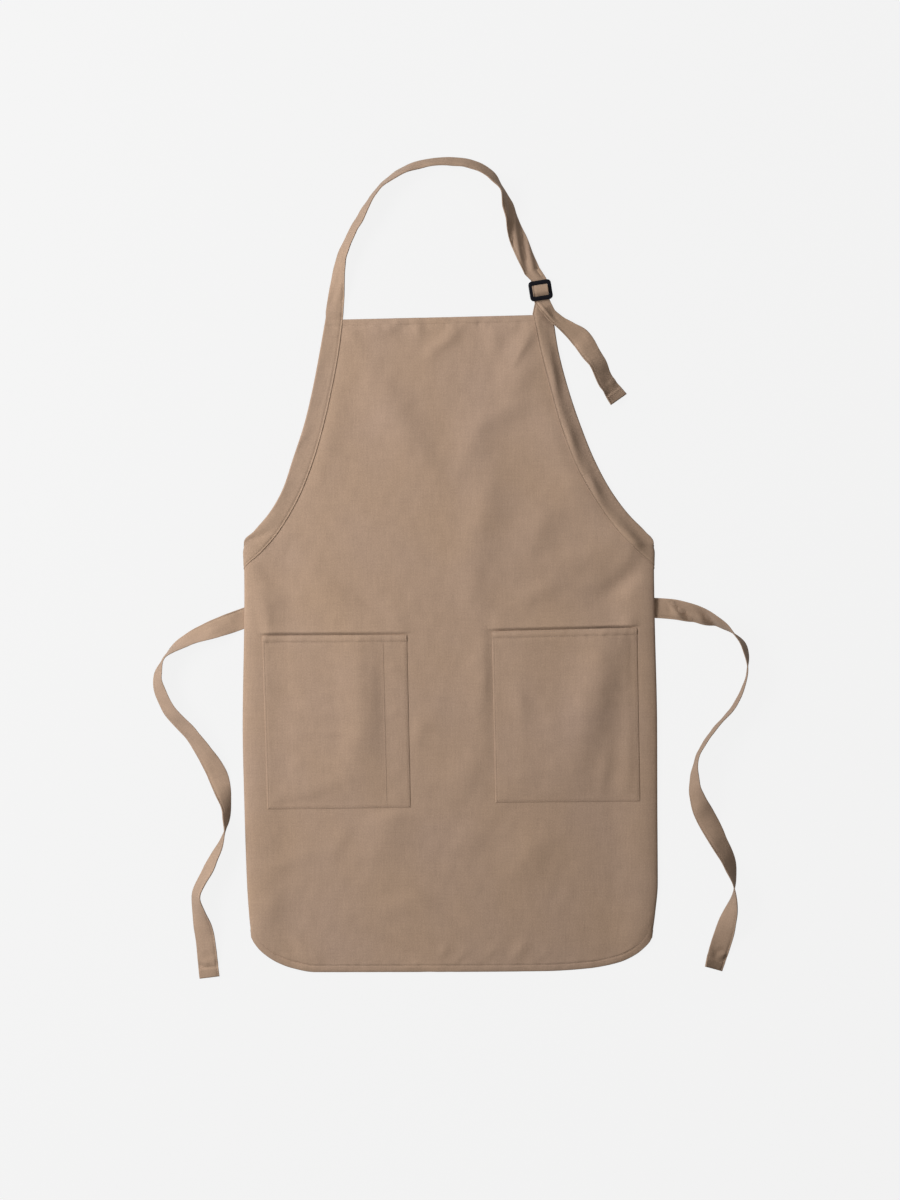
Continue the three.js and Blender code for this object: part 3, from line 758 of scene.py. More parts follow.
def panel_place(flat, row, lift, folded=True):
    """Point of the panel for a place on the flat cloth, lifted off its middle surface."""
    left = left_edge(row)
    right = right_edge(row)
    on_left = flat - left < right - flat
    inside = np.minimum(flat - left, right - flat)
    edge = np.where(on_left, left, right)
    way_in = np.where(on_left, 1.0, -1.0)
    curl = side_curl(row)
    raised = tie_rise(row, on_left)
    top = LIE_HEIGHT + edge_rise(row) + raised
    low = under_height(row) + raised
    middle = mix(low, top, ROLL_SHARE)
    out = np.clip(1.0 - inside / ROLL_WIDTH, 0.0, 1.0)
    rolled_in = np.where(inside < ROLL_WIDTH, ROLL_WIDTH - (ROLL_WIDTH + lift) * out, inside)
    rolled_z = middle + (top - middle + lift) * np.sqrt(1.0 - out * out)
    quarter = TURN_RADIUS * math.pi / 2.0
    turn = np.clip(-inside / quarter, 0.0, 1.0) * math.pi / 2.0
    turned_in = TURN_RADIUS - (TURN_RADIUS + lift) * np.cos(turn) + np.clip(-inside - quarter, 0.0, None)
    turned_z = middle - (middle - low + lift) * np.sin(turn)
    rolled_in = np.where(inside < 0.0, turned_in, rolled_in)
    rolled_z = np.where(inside < 0.0, turned_z, rolled_z)
    slope_down = 1.0 - smooth(ROLL_WIDTH, RAMP_END, inside)
    flat_z = LIE_HEIGHT + (edge_rise(row) + raised) * slope_down + lift
    x = edge + way_in * mix(inside, rolled_in, curl)
    z = np.where(inside >= ROLL_WIDTH, flat_z, mix(flat_z, rolled_z, curl))
    y = row_y(row, x)
    if folded:
        fade = mix(1.0, smooth(*RELIEF_FADE, inside), curl)
        z = z + fade * panel_relief(x, y)
        z = np.where(inside > 0.0, np.maximum(z, LOWEST + lift), z)
    return np.stack(np.broadcast_arrays(x, y, z), axis=-1)


def cloth_grid(name, points, flat, closed=False):
    """Mesh object over a grid of points, with its flat cut in millimetres as its UV map in metres."""
    rows, columns = points.shape[:2]
    form = bmesh.new()
    layer = form.loops.layers.uv.new("cloth")
    bmesh.ops.create_grid(form, x_segments=columns - 1, y_segments=rows - 1, size=1.0)
    places = (points.reshape(-1, 3) * MM).tolist()
    cut = (flat.reshape(-1, 2) * MM).tolist()
    form.verts.index_update()
    for vert, place in zip(form.verts, places):
        vert.co = place
    for face in form.faces:
        face.smooth = True
        for loop in face.loops:
            loop[layer].uv = cut[loop.vert.index]
    if closed:
        close_strip(form)
    bmesh.ops.recalc_face_normals(form, faces=form.faces)
    return mesh_object(name, form)


def close_strip(form, weld=0.000002):
    """Joins a strip's long seam and fills its two ends."""
    bmesh.ops.remove_doubles(form, verts=form.verts, dist=weld)
    open_edges = [edge for edge in form.edges if edge.is_boundary]
    bmesh.ops.holes_fill(form, edges=open_edges, sides=0)


def linked(name, data):
    """New object in the scene for a mesh, a lamp or a camera."""
    made = bpy.data.objects.new(name, data)
    bpy.context.scene.collection.objects.link(made)
    return made


def mesh_object(name, form):
    """Object made of a bmesh, which is freed."""
    mesh = bpy.data.meshes.new(name)
    form.to_mesh(mesh)
    form.free()
    return linked(name, mesh)


def thicken(piece, depth, sizes):
    """Live thickness for a sheet modelled by its middle surface, thicker where its hem is turned."""
    weigh(piece, "hem", (1.0 - smooth(*HEM_BLEND, depth)).ravel())
    solid = piece.modifiers.new("Cloth thickness", "SOLIDIFY")
    solid.thickness = sizes.hem_thickness
    solid.offset = 0.0
    solid.use_even_offset = True
    solid.use_quality_normals = True
    solid.vertex_group = "hem"
    solid.thickness_vertex_group = sizes.cloth_thickness / sizes.hem_thickness


def weigh(piece, name, weights, levels=20.0):
    """Vertex group with a weight for each vertex, in that many levels."""
    group = piece.vertex_groups.new(name=name)
    steps = np.round(np.clip(weights, 0.0, 1.0) * levels).astype(int)
    for step in np.unique(steps):
        group.add(np.nonzero(steps == step)[0].tolist(), step / levels, "REPLACE")


def hand_over(piece, material, node=None):
    """Gives a finished piece its material and body, and hides the CAD part of its node."""
    piece.data.materials.append(material)
    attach(piece, BODY)
    if node:
        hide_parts(node)


def panel_columns():
    """Columns of the panel: the side they are measured from, the distance inside it, and a share between."""
    roll = ROLL_WIDTH * (1.0 - np.cos(np.linspace(0.0, math.pi / 2.0, ROLL_STEPS + 1)))
    margin = np.linspace(ROLL_WIDTH, MARGIN, MARGIN_STEPS + 1)[1:]
    turned = -np.linspace(TURN_FULL, 0.0, TURN_STEPS + 1)[:-1]
    inside = np.concatenate([turned, roll, margin])
    inner = np.linspace(0.0, 1.0, INNER_COLUMNS + 2)[1:-1]
    side = np.concatenate([-np.ones_like(inside), np.zeros_like(inner), np.ones_like(inside)])
    distance = np.concatenate([inside, np.zeros_like(inner), inside[::-1]])
    share = np.concatenate([np.zeros_like(inside), inner, np.zeros_like(inside)])
    return side, distance, share


def panel_rows():
    """Rows of the panel from the bottom edge up, close together at the hems."""
    hem = np.arange(0.0, HEM_ROWS_END, HEM_ROW)
    spread = HEM_ROWS_END + np.array(HEM_ROWS_SPREAD)
    near = np.concatenate([hem, spread])
    low = CORNER_Y + near
    high = BIB_TOP - near[::-1]
    count = int((high[0] - low[-1]) / ROW_STEP)
    middle = np.linspace(low[-1], high[0], count + 1)[1:-1]
    middle = middle[(middle < MOUTH_LOW) | (middle > MOUTH_HIGH)]
    mouth = np.arange(MOUTH_LOW, MOUTH_HIGH, MOUTH_ROW) + MOUTH_ROW / 2.0
    return np.sort(np.concatenate([low, middle, mouth, high]))


def build_panel(sizes, material):
    """The apron's one-piece front."""
    side, distance, share = panel_columns()
    rows = panel_rows()[:, None]
    left = left_edge(rows)
    right = right_edge(rows)
    inside = np.where(distance < 0.0, distance * turned_under(rows) / TURN_FULL, distance)
    between = mix(left + MARGIN, right - MARGIN, share)
    flat = np.where(side < 0, left + inside, np.where(side > 0, right - inside, between))
    row = np.broadcast_to(rows, flat.shape)
    points = panel_place(flat, row, 0.0)
    cut = np.stack([flat, points[..., 1]], axis=-1)
    piece = cloth_grid("apron_panel", points, cut)
    top, bottom = hem_depths(points[..., 0], points[..., 1])
    thicken(piece, np.minimum(top, bottom), sizes)
    hand_over(piece, material, "body_panel")


def pocket_size(pocket):
    """Width and height of a pocket."""
    return math.dist(pocket.top_left, pocket.top_right), math.dist(pocket.top_left, pocket.bottom_left)


def pocket_place(pocket, u, v, lift):
    """Point of a pocket, u across from its left and v up from its bottom, lifted off its middle surface."""
    corner = {name: np.array(getattr(pocket, name), dtype=float) for name in CORNERS}
    low = mix(corner["bottom_left"], corner["bottom_right"], u[..., None])
    high = mix(corner["top_left"], corner["top_right"], u[..., None])
    plan = mix(low, high, v[..., None])
    x = plan[..., 0]
    y = plan[..., 1]
    width, height = pocket_size(pocket)
    side = np.minimum(np.minimum(u, 1.0 - u) * width, v * height)
    depth = (1.0 - v) * height
    base = panel_place(x, y, lift, folded=False)[..., 2]
    swell = POCKET_SWELL * smooth(*SWELL_BLEND, side)
    edge = groove_at(side - POCKET_EDGE, GROOVE)
    edge = edge - POCKET_DROP * np.exp(-np.minimum(u * width, v * height))
    edge = edge - EDGE_DROP * np.exp((u - 1.0) * width)
    hem = hem_shape(depth, x, TOP_STEP, GROOVE, POCKET_HEM_SEED)
    mouth = groove_at(depth - POCKET_EDGE, GROOVE)
    folds = relief(POCKET_FOLDS, x, y) * smooth(*FOLD_BLEND, side)
    waves = ripples(POCKET_RIPPLES, x, y) * smooth(*RIPPLE_BLEND, side)
    z = base + POCKET_RISE + swell + edge + hem + mouth + folds + waves
    return np.stack([x, y, np.maximum(z, base + LEAST_STEP)], axis=-1)


def pocket_shares(length):
    """Shares of a pocket's side, close together at its edges."""
    near = np.array(POCKET_NEAR)
    count = int((length - 2.0 * near[-1]) / POCKET_STEP)
    middle = np.linspace(near[-1], length - near[-1], count + 1)[1:-1]
    return np.concatenate([near, middle, length - near[::-1]]) / length


def build_pocket(pocket, sizes, material):
    """One patch pocket, sewn on at its sides and bottom."""
    width, height = pocket_size(pocket)
    u, v = np.meshgrid(pocket_shares(width), pocket_shares(height))
    points = pocket_place(pocket, u, v, 0.0)
    cut = np.stack([points[..., 0], points[..., 1] + WEAVE_SHIFT], axis=-1)
    piece = cloth_grid(f"pocket_cloth_{pocket.name}", points, cut)
    thicken(piece, (1.0 - v) * height, sizes)
    hand_over(piece, material, f"pocket_{pocket.name}")


def strip_section():
    """Points round a folded strip: over its top, round the fold, back below and through the slot."""
    layer = LAYER_SHARES
    turn = np.linspace(math.pi / 2.0, 1.5 * math.pi, FOLD_TURNS + 2)[1:-1]
    slot = np.linspace(1.0, 0.0, SLOT_POINTS)
    flat = np.zeros_like(layer)
    none = np.zeros_like(slot)
    one = np.ones(1)
    share = np.concatenate([layer, np.zeros_like(turn), layer[::-1], one, slot, slot[::-1], one])
    bend = np.concatenate([flat, np.cos(turn), flat, 0 * one, none, none, 0 * one])
    half = np.concatenate([flat + 1, np.sin(turn), flat - 1, -LIP_SHARE * one, none, none, LIP_SHARE * one])
    gap = np.concatenate([flat, 0 * turn, flat, -LIP_SHARE * one, none - 1, none + 1, LIP_SHARE * one])
    lip = np.concatenate([flat, 0 * turn, flat, one, none, none, one])
    return share, bend, half, gap, lip


def section_points(width, half, gap):
    """Places across and above the middle of each station's folded section."""
    share, bend, half_sign, gap_sign, lip = strip_section()
    across = -width / 2.0 + half + share * (width - half) + half * bend + LIP * lip
    pinch = groove_at(across - width / 2.0 + SEAM_INSET, SEAM_GROOVE)
    above = half * half_sign + gap * gap_sign + pinch * np.round(half_sign)
    return across, above


def binding_points(rows, share, across, above):
    """Points of a binding, by the share of its length and their place in its section."""
    at = binding_at(rows)
    place = share * at[-1]
    out_x, out_y, in_x, in_y = [flowing(at, values(rows, name))(place) for name in Binding._fields]
    width = np.hypot(in_x - out_x, in_y - out_y)
    part = across / width + 0.5
    x = mix(out_x, in_x, part)
    y = mix(out_y, in_y, part)
    return panel_place(x, row_at(x, y), above)


def binding_at(rows):
    """Distance along a binding's middle line at each of its rows."""
    x = (values(rows, "out_x") + values(rows, "in_x")) / 2.0
    y = (values(rows, "out_y") + values(rows, "in_y")) / 2.0
    return running(np.hypot(np.diff(x), np.diff(y)))


def binding_width(rows, share):
    """Width of a binding along its length."""
    at = binding_at(rows)
    wide_x = values(rows, "in_x") - values(rows, "out_x")
    wide_y = values(rows, "in_y") - values(rows, "out_y")
    return flowing(at, np.hypot(wide_x, wide_y))(share * at[-1])


def binding_rings(rows):
    """Rings of points round a binding, from the waist up."""
    count = int(binding_at(rows)[-1] / STATION)
    share = np.linspace(0.0, 1.0, count)[:, None]
    across, above = section_points(binding_width(rows, share), BINDING_HALF, BINDING_GAP)
    return binding_points(rows, share, across, above)


def evened(heights):
    """Heights along a run evened out over a short reach, with both ends kept, because cloth makes no kink."""
    reach = round(HEIGHT_REACH / STATION)
    weights = np.hanning(2 * reach + 3)[1:-1]
    longer = np.pad(heights, reach, mode="reflect", reflect_type="odd")
    return np.convolve(longer, weights / weights.sum(), mode="valid")


class Track:
    """Middle line of a free run of strip with the directions across and up from it."""

    def __init__(self, rows):
        x = values(rows, "x")
        y = values(rows, "y")
        at = running(np.hypot(np.diff(x), np.diff(y)))
        self.length = at[-1]
        place = np.linspace(0.0, self.length, int(self.length / STATION))
        self.along = place
        self.x = flowing(at, x)(place)
        self.y = flowing(at, y)(place)
        roll = np.radians(monotone(at, values(rows, "roll"))(place))
        self.width = monotone(at, values(rows, "width"))(place)
        self.pleat = monotone(at, values(rows, "pleat"))(place)
        lift = monotone(at, values(rows, "lift"))(place)
        forward = unit(np.stack([np.gradient(self.x), np.gradient(self.y)], axis=-1))
        flat = np.zeros_like(place)
        level = np.stack([forward[:, 1], -forward[:, 0], flat], axis=-1)
        self.across = level * np.cos(roll)[:, None] + UPRIGHT * np.sin(roll)[:, None]
        self.up = np.cross(self.across, np.concatenate([forward, flat[:, None]], axis=-1))
        thick = 2.0 * STRIP_HALF * np.abs(np.cos(roll))
        self.z = evened(lift + (self.width * np.abs(self.across[:, 2]) + thick) / 2.0)

    def middle(self):
        """Points of the middle line."""
        return np.stack([self.x, self.y, self.z], axis=-1)

    def points(self, across, above):
        """Points at places across and above the middle line, one row for each station."""
        beside = self.across[:, None, :] * across[..., None] + self.up[:, None, :] * above[..., None]
        return self.middle()[:, None, :] + beside


def run_bend(track, across, seed, hemmed):
    """How far a run's cloth bends off its middle surface: lengthwise pleats, folds and small ripples."""
    along = track.along[:, None]
    share = across / track.width[:, None]
    drift = PLEAT_DRIFT * (track.length - along)
    pleat = track.pleat[:, None] * np.sin(PLEAT_START - drift - PLEATS * math.pi * share)
    waves = STRIP_RIPPLE * ripple(along, across, STRIP_RIPPLE_SIZE, seed)
    cup = CUP * (share * share * 4.0 - 1.0) * np.sin(along / CUP_LENGTH + seed)
    plan = track.middle()[:, None, :2] + track.across[:, None, :2] * across[..., None]
    bend = pleat + waves + cup + relief(TIE_FOLDS, plan[..., 0], plan[..., 1])
    if hemmed:
        before = track.length - along - END_HEM
        creases = ripple(before, across, CREASE_LENGTH, seed + CREASE_SEED)
        bend = bend + END_CREASE * creases * np.exp(-((before - CREASE_PLACE) / CREASE_REACH) ** 2)
    return bend


def run_half(track, start_half, hemmed):
    """Half thickness of a run: thicker where it leaves a binding and at a hemmed end."""
    half = mix(STRIP_HALF, start_half, 1.0 - smooth(0.0, BINDING_END, track.along))
    if hemmed:
        past = track.along - track.length + END_HEM
        groove = END_GROOVE * np.exp(-((past + END_GROOVE_PLACE) / END_GROOVE_WIDTH) ** 2)
        half = half + END_HALF * smooth(-END_STEP, END_STEP, past) - groove
    return half[:, None]


def run_rings(rows, seed, start_half=STRIP_HALF, hemmed=False):
    """Rings of points round a free run of strip."""
    track = Track(rows)
    half = run_half(track, start_half, hemmed)
    across, above = section_points(track.width[:, None], half, STRIP_GAP * half / STRIP_HALF)
    above = above + run_bend(track, across, seed, hemmed)
    return track.points(across, above)


def on_floor(points):
    """The same points, with none below the floor."""
    return np.stack([points[..., 0], points[..., 1], np.maximum(points[..., 2], FLOOR_CLEAR)], axis=-1)


def pass_rings(rows, width):
    """Rings of points round a strip that passes through the buckle."""
    count = (len(rows) - 1) * PASS_STEPS + 1
    index = np.arange(len(rows), dtype=float)
    place = np.linspace(0.0, index[-1], count)
    along = flowing(index, values(rows, "along"))(place)
    height = flowing(index, values(rows, "z"))(place)
    heading = math.radians(BUCKLE_HEADING)
    ahead = np.array([math.cos(heading), math.sin(heading), 0.0])
    right = np.array([math.sin(heading), -math.cos(heading), 0.0])
    forward = unit(ahead * np.gradient(along)[:, None] + UPRIGHT * np.gradient(height)[:, None])
    travel = 1.0 if rows[1].along > rows[0].along else -1.0
    up = travel * np.cross(right, forward)
    across, above = section_points(np.full((count, 1), float(width)), LOOP_HALF, STRIP_GAP)
    middle = np.array([BUCKLE_X, BUCKLE_Y, 0.0]) + ahead * along[:, None] + UPRIGHT * height[:, None]
    return middle[:, None, :] - right * across[..., None] + up[:, None, :] * above[..., None]


def strip_piece(name, rings, material, node):
    """Mesh object of a strip through rings of points, with the strip unfolded as its UV map."""
    rings = on_floor(rings)
    looped = np.concatenate([rings, rings[:, :1]], axis=1)
    middle = rings.mean(axis=1)
    along = running(np.linalg.norm(np.diff(middle, axis=0), axis=-1))
    across = running(np.linalg.norm(np.diff(looped, axis=1), axis=-1).mean(axis=0))
    cut = np.stack(np.broadcast_arrays(across[None, :], along[:, None]), axis=-1)
    piece = cloth_grid(name, looped, cut, closed=True)
    hand_over(piece, material, node)
    return piece, along[-1]


def build_neck_strap(material):
    """The strip that binds the left armhole, goes round the neck and through the buckle, and ends free."""
    rings = [
        binding_rings(LEFT_BINDING),
        run_rings(NECK_RUN, NECK_SEED, start_half=BINDING_HALF),
        pass_rings(STRAP_WEAVE, WEAVE_WIDTH),
        run_rings(FREE_END, FREE_END_SEED, hemmed=True),
    ]
    piece, length = strip_piece("neck_strip", np.concatenate(rings), material, "neck_strap")


def build_buckle_strap(material):
    """The strip that binds the right armhole and loops round the buckle's middle bar."""
    rings = [binding_rings(RIGHT_BINDING), pass_rings(BUCKLE_LOOP, LOOP_WIDTH)]
    piece, length = strip_piece("buckle_strip", np.concatenate(rings), material, "buckle_strap")


def build_tie(side, rows, seed, material):
    """One waist tie."""
    rings = run_rings(rows, seed, hemmed=True)
    piece, length = strip_piece(f"waist_tie_{side}", rings, material, f"tie_{side}")


def build_buckle(material):
    """The black slide buckle: a frame with a middle bar and rounded corners."""
    half_width = BUCKLE_WIDTH / 2.0
    half_length = BUCKLE_LENGTH / 2.0
    half_bar = MIDDLE_BAR / 2.0
    inner = half_width - SIDE_BAR
    bar = half_length - END_BAR
    cuts_x = [-half_width, -inner, inner, half_width]
    cuts_y = [-half_length, -bar, -half_bar, half_bar, bar, half_length]
    columns = len(cuts_x) - 1
    rows = len(cuts_y) - 1
    form = bmesh.new()
    bmesh.ops.create_grid(form, x_segments=columns, y_segments=rows, size=1.0)
    for vert in form.verts:
        x = cuts_x[round((vert.co.x + 1.0) / 2.0 * columns)]
        y = cuts_y[round((vert.co.y + 1.0) / 2.0 * rows)]
        vert.co = Vector((x, y, 0.0)) * MM
    windows = []
    for face in form.faces:
        middle = face.calc_center_median() / MM
        if abs(middle.x) < inner and half_bar < abs(middle.y) < bar:
            windows.append(face)
    bmesh.ops.delete(form, geom=windows, context="FACES")
    raised = bmesh.ops.extrude_face_region(form, geom=form.faces[:])
    top = [item for item in raised["geom"] if isinstance(item, bmesh.types.BMVert)]
    bmesh.ops.translate(form, verts=top, vec=(0.0, 0.0, BUCKLE_THICK * MM))
    bmesh.ops.recalc_face_normals(form, faces=form.faces)
    round_corners(form, half_width, half_length)
    turn = Matrix.Rotation(math.radians(BUCKLE_HEADING - 90), 4, "Z")
    place = Matrix.Translation(Vector((BUCKLE_X, BUCKLE_Y, BUCKLE_UNDERSIDE)) * MM)
    bmesh.ops.transform(form, matrix=place @ turn, verts=form.verts)
    for face in form.faces:
        face.smooth = True
    piece = mesh_object("buckle_slide", form)
    hand_over(piece, material, "slide_buckle")


def round_corners(form, half_width, half_length):
    """Rounds the buckle's upright corners, then every rim."""
    upright = [edge for edge in form.edges if is_upright(edge) and is_sharp(edge)]
    outer = [edge for edge in upright if is_outer(edge, half_width, half_length)]
    inner = [edge for edge in upright if edge not in outer]
    bevel(form, outer, OUTER_CORNER, OUTER_STEPS)
    bevel(form, inner, INNER_CORNER, INNER_STEPS)
    rims = [edge for edge in form.edges if not is_upright(edge) and is_sharp(edge)]
    bevel(form, rims, BUCKLE_BEVEL, RIM_STEPS)


def bevel(form, edges, radius, steps):
    """Rounds those of the edges that are still there."""
    live = [edge for edge in edges if edge.is_valid]
    bmesh.ops.bevel(form, geom=live, offset=radius * MM, affect="EDGES", segments=steps,
                    profile=ROUND_PROFILE, material=-1)


def is_sharp(edge):
    """Whether the faces on both sides of an edge make a corner."""
    return edge.calc_face_angle(0.0) > SHARP_ANGLE


def is_upright(edge, share=0.9):
    """Whether an edge of the buckle stands on end, with at least that share of its length upright."""
    start, end = (vert.co for vert in edge.verts)
    return abs(start.z - end.z) > share * (start - end).length


def is_outer(edge, half_width, half_length):
    """Whether an upright edge is at one of the buckle's four outer corners."""
    place = edge.verts[0].co / MM
    near = 0.01
    return abs(abs(place.x) - half_width) < near and abs(abs(place.y) - half_length) < near


def stitch_places(line, up, pitch):
    """Middles, directions and up directions of stitches along a line of points, a pitch apart."""
    at = running(np.linalg.norm(np.diff(line, axis=0), axis=-1))
    count = int(at[-1] / pitch)
    place = (np.arange(count) + 0.5) * at[-1] / count
    reach = STITCH_AIM * pitch

    def along(points, position):
        return np.stack([np.interp(position, at, points[:, axis]) for axis in range(3)], axis=-1)

    forward = unit(along(line, place + reach) - along(line, place - reach))
    return along(line, place), forward, along(np.broadcast_to(up, line.shape), place)


def stitch_template(length, width):
    """Vertices and faces of one stitch, lying along X."""
    form = bmesh.new()
    bmesh.ops.create_uvsphere(form, u_segments=STITCH_SIDES, v_segments=STITCH_SIDES, radius=0.5)
    turn = Matrix.Rotation(math.pi / 2.0, 4, "Y")
    size = Matrix.Diagonal((length, width, width, 1.0))
    bmesh.ops.transform(form, matrix=size @ turn, verts=form.verts)
    form.verts.index_update()
    verts = np.array([vert.co[:] for vert in form.verts])
    faces = [[vert.index for vert in face.verts] for face in form.faces]
    form.free()
    return verts, faces


def build_stitches(name, lines, sizes, material):
    """All the stitches along some lines, joined into one piece."""
    pitch = sizes.stitch_pitch / MM
    verts, faces = stitch_template(STITCH_SHARE * pitch, sizes.thread_width / MM)
    all_verts = []
    all_faces = []
    for line, up in lines:
        middle, forward, upward = stitch_places(line, up, pitch)
        side = unit(np.cross(upward, forward))
        above = np.cross(forward, side)
        placed = (middle[:, None, :] + forward[:, None, :] * verts[None, :, :1]
                  + side[:, None, :] * verts[None, :, 1:2] + above[:, None, :] * verts[None, :, 2:])
        for stitch in on_floor(placed):
            start = len(all_verts)
            all_verts.extend((stitch * MM).tolist())
            all_faces.extend([[start + index for index in face] for face in faces])
    mesh = bpy.data.meshes.new(name)
    mesh.from_pydata(all_verts, [], all_faces)
    mesh.shade_smooth()
    hand_over(linked(name, mesh), material)


def panel_stitch_lines(sizes):
    """Stitch lines of the two hems."""
    lift = sizes.cloth_thickness / MM / 2.0 + THREAD_OUT
    x = np.arange(*TOP_HEM_ENDS, HEM_LINE_STEP)
    top = panel_place(x, row_at(x, row_y(np.full_like(x, BIB_TOP), x) - HEM), lift)
    x = np.arange(*BOTTOM_HEM_ENDS, HEM_LINE_STEP)
    y = bottom_edge(x) + HEM * bottom_stretch(x)
    bottom = panel_place(x, row_at(x, y), lift)
    return [(top, UPRIGHT), (bottom, UPRIGHT)]


def pocket_stitch_lines(sizes):
    """Stitch lines of the pockets: round the sewn sides, and two rows along the mouth."""
    lift = sizes.hem_thickness / MM / 2.0 + POCKET_THREAD_OUT
    lines = []
    run = np.linspace(0.0, 1.0, POCKET_LINE_POINTS)
    for pocket in POCKETS:
        width, height = pocket_size(pocket)
        inset = POCKET_EDGE / width
        across = mix(inset, 1.0 - inset, run)
        rise = POCKET_EDGE / height
        for v in (rise, 1.0 - rise, 1.0 - HEM / height):
            lines.append((pocket_place(pocket, across, np.full_like(run, v), lift), UPRIGHT))
        upright_rows = [inset, 1.0 - inset]
        if pocket.name == "left":
            upright_rows.append(1.0 - PEN_SLOT / width)
        for u in upright_rows:
            lines.append((pocket_place(pocket, np.full_like(run, u), run, lift), UPRIGHT))
    return lines


def binding_stitch_line(rows):
    """Stitch line along a binding's sewn edge."""
    share = np.linspace(BINDING_LINE_START, 1.0, BINDING_LINE_POINTS)
    across = binding_width(rows, share) / 2.0 - SEAM_INSET
    above = BINDING_HALF - SEAM_GROOVE + BINDING_THREAD_OUT
    return binding_points(rows, share, across, above), UPRIGHT


def run_stitch_lines(rows, seed, start_half=STRIP_HALF, hemmed=True):
    """Stitch lines on both faces of a free run, along its sewn edge and across its hemmed end."""
    track = Track(rows)
    half = run_half(track, start_half, hemmed)
    edge = track.width[:, None] / 2.0 - SEAM_INSET
    cross = edge * np.linspace(-1.0, 1.0, END_LINE_POINTS)
    station = int(np.argmin(np.abs(track.along - track.length + END_HEM - END_LINE_INSET)))
    lines = []
    for face in (1.0, -1.0):
        rise = face * (half - SEAM_GROOVE + THREAD_OUT)
        line = track.points(edge, rise + run_bend(track, edge, seed, hemmed))
        lines.append((line[:, 0], face * track.up))
        if hemmed:
            rise = face * (half + THREAD_OUT)
            rows_across = track.points(cross, rise + run_bend(track, cross, seed, hemmed))
            lines.append((rows_across[station], face * track.up[station]))
    return lines


def twill_group():
    """Shader group for twill: a flat cut in metres gives the cloth's colour, roughness and height."""
    group = bpy.data.node_groups.new("Twill weave", "ShaderNodeTree")
    nodes = group.nodes
    link = group.links.new
    for name, kind in (("Cut", "Vector"), ("Colour", "Color"), ("Pitch", "Float"), ("Depth", "Float")):
        group.interface.new_socket(name, in_out="INPUT", socket_type=f"NodeSocket{kind}")
    for name, kind in (("Colour", "Color"), ("Roughness", "Float"), ("Height", "Float")):
        group.interface.new_socket(name, in_out="OUTPUT", socket_type=f"NodeSocket{kind}")
    entry = nodes.new("NodeGroupInput")
    leave = nodes.new("NodeGroupOutput")

    def calculate(operation, first, second=None):
        made = nodes.new("ShaderNodeMath")
        made.operation = operation
        for socket, value in zip(made.inputs, (first, second)):
            if isinstance(value, (int, float)):
                socket.default_value = value
            elif value is not None:
                link(value, socket)
        return made.outputs[0]

    def weighted(*pairs):
        total, *others = [calculate("MULTIPLY", value, share) for value, share in pairs]
        for other in others:
            total = calculate("ADD", total, other)
        return total

    def vector(operation):
        made = nodes.new("ShaderNodeVectorMath")
        made.operation = operation
        return made

    def noise(kind):
        spread = vector("MULTIPLY")
        spread.inputs[1].default_value = (kind.across, kind.along, 1.0)
        link(entry.outputs["Cut"], spread.inputs[0])
        made = nodes.new("ShaderNodeTexNoise")
        made.noise_dimensions = "2D"
        set_inputs(made, {"Scale": 1.0, "Detail": kind.detail})
        link(spread.outputs[0], made.inputs["Vector"])
        return calculate("SUBTRACT", made.outputs["Fac"], 0.5)

    parts = nodes.new("ShaderNodeSeparateXYZ")
    link(entry.outputs["Cut"], parts.inputs[0])
    across = parts.outputs["X"]
    turns = calculate("DIVIDE", 2.0 * math.pi, entry.outputs["Pitch"])
    slant = weighted((across, RIB_ACROSS), (parts.outputs["Y"], RIB_ALONG))
    rib = calculate("SINE", calculate("MULTIPLY", slant, turns))
    yarn = calculate("SINE", calculate("MULTIPLY", across, calculate("MULTIPLY", turns, YARNS)))
    weave = weighted((rib, RIB_SHARE), (yarn, YARN_SHARE))
    slub = noise(SLUB)
    others = [(noise(kind), kind.share) for kind in (CROSS_SLUB, MOTTLE, GRAIN)]
    uneven = weighted((slub, SLUB.share), *others)
    shade = calculate("ADD", calculate("MULTIPLY", weave, entry.outputs["Depth"]), uneven)
    warm = calculate("MULTIPLY", noise(TONE), TONE.share)
    tint = nodes.new("ShaderNodeCombineXYZ")
    link(calculate("ADD", 1.0, calculate("MULTIPLY", warm, WARM_RED)), tint.inputs["X"])
    tint.inputs["Y"].default_value = 1.0
    link(calculate("SUBTRACT", 1.0, warm), tint.inputs["Z"])
    scaled = vector("SCALE")
    link(tint.outputs[0], scaled.inputs[0])
    link(calculate("ADD", shade, 1.0), scaled.inputs["Scale"])
    paint = vector("MULTIPLY")
    link(scaled.outputs[0], paint.inputs[0])
    link(entry.outputs["Colour"], paint.inputs[1])
    rough = calculate("ADD", CLOTH_ROUGHNESS, calculate("MULTIPLY", slub, SLUB_ROUGHNESS))
    height = calculate("ADD", weave, calculate("MULTIPLY", slub, SLUB_HEIGHT))
    link(paint.outputs[0], leave.inputs["Colour"])
    link(rough, leave.inputs["Roughness"])
    link(height, leave.inputs["Height"])
    return group


def set_inputs(node, settings):
    """Sets inputs of a shader node by their names."""
    for name, value in settings.items():
        node.inputs[name].default_value = value


def principled(name, settings):
    """New material, and its Principled shader with those inputs set."""
    material = bpy.data.materials.new(name)
    material.use_nodes = True
    shader = material.node_tree.nodes["Principled BSDF"]
    set_inputs(shader, settings)
    return material, shader


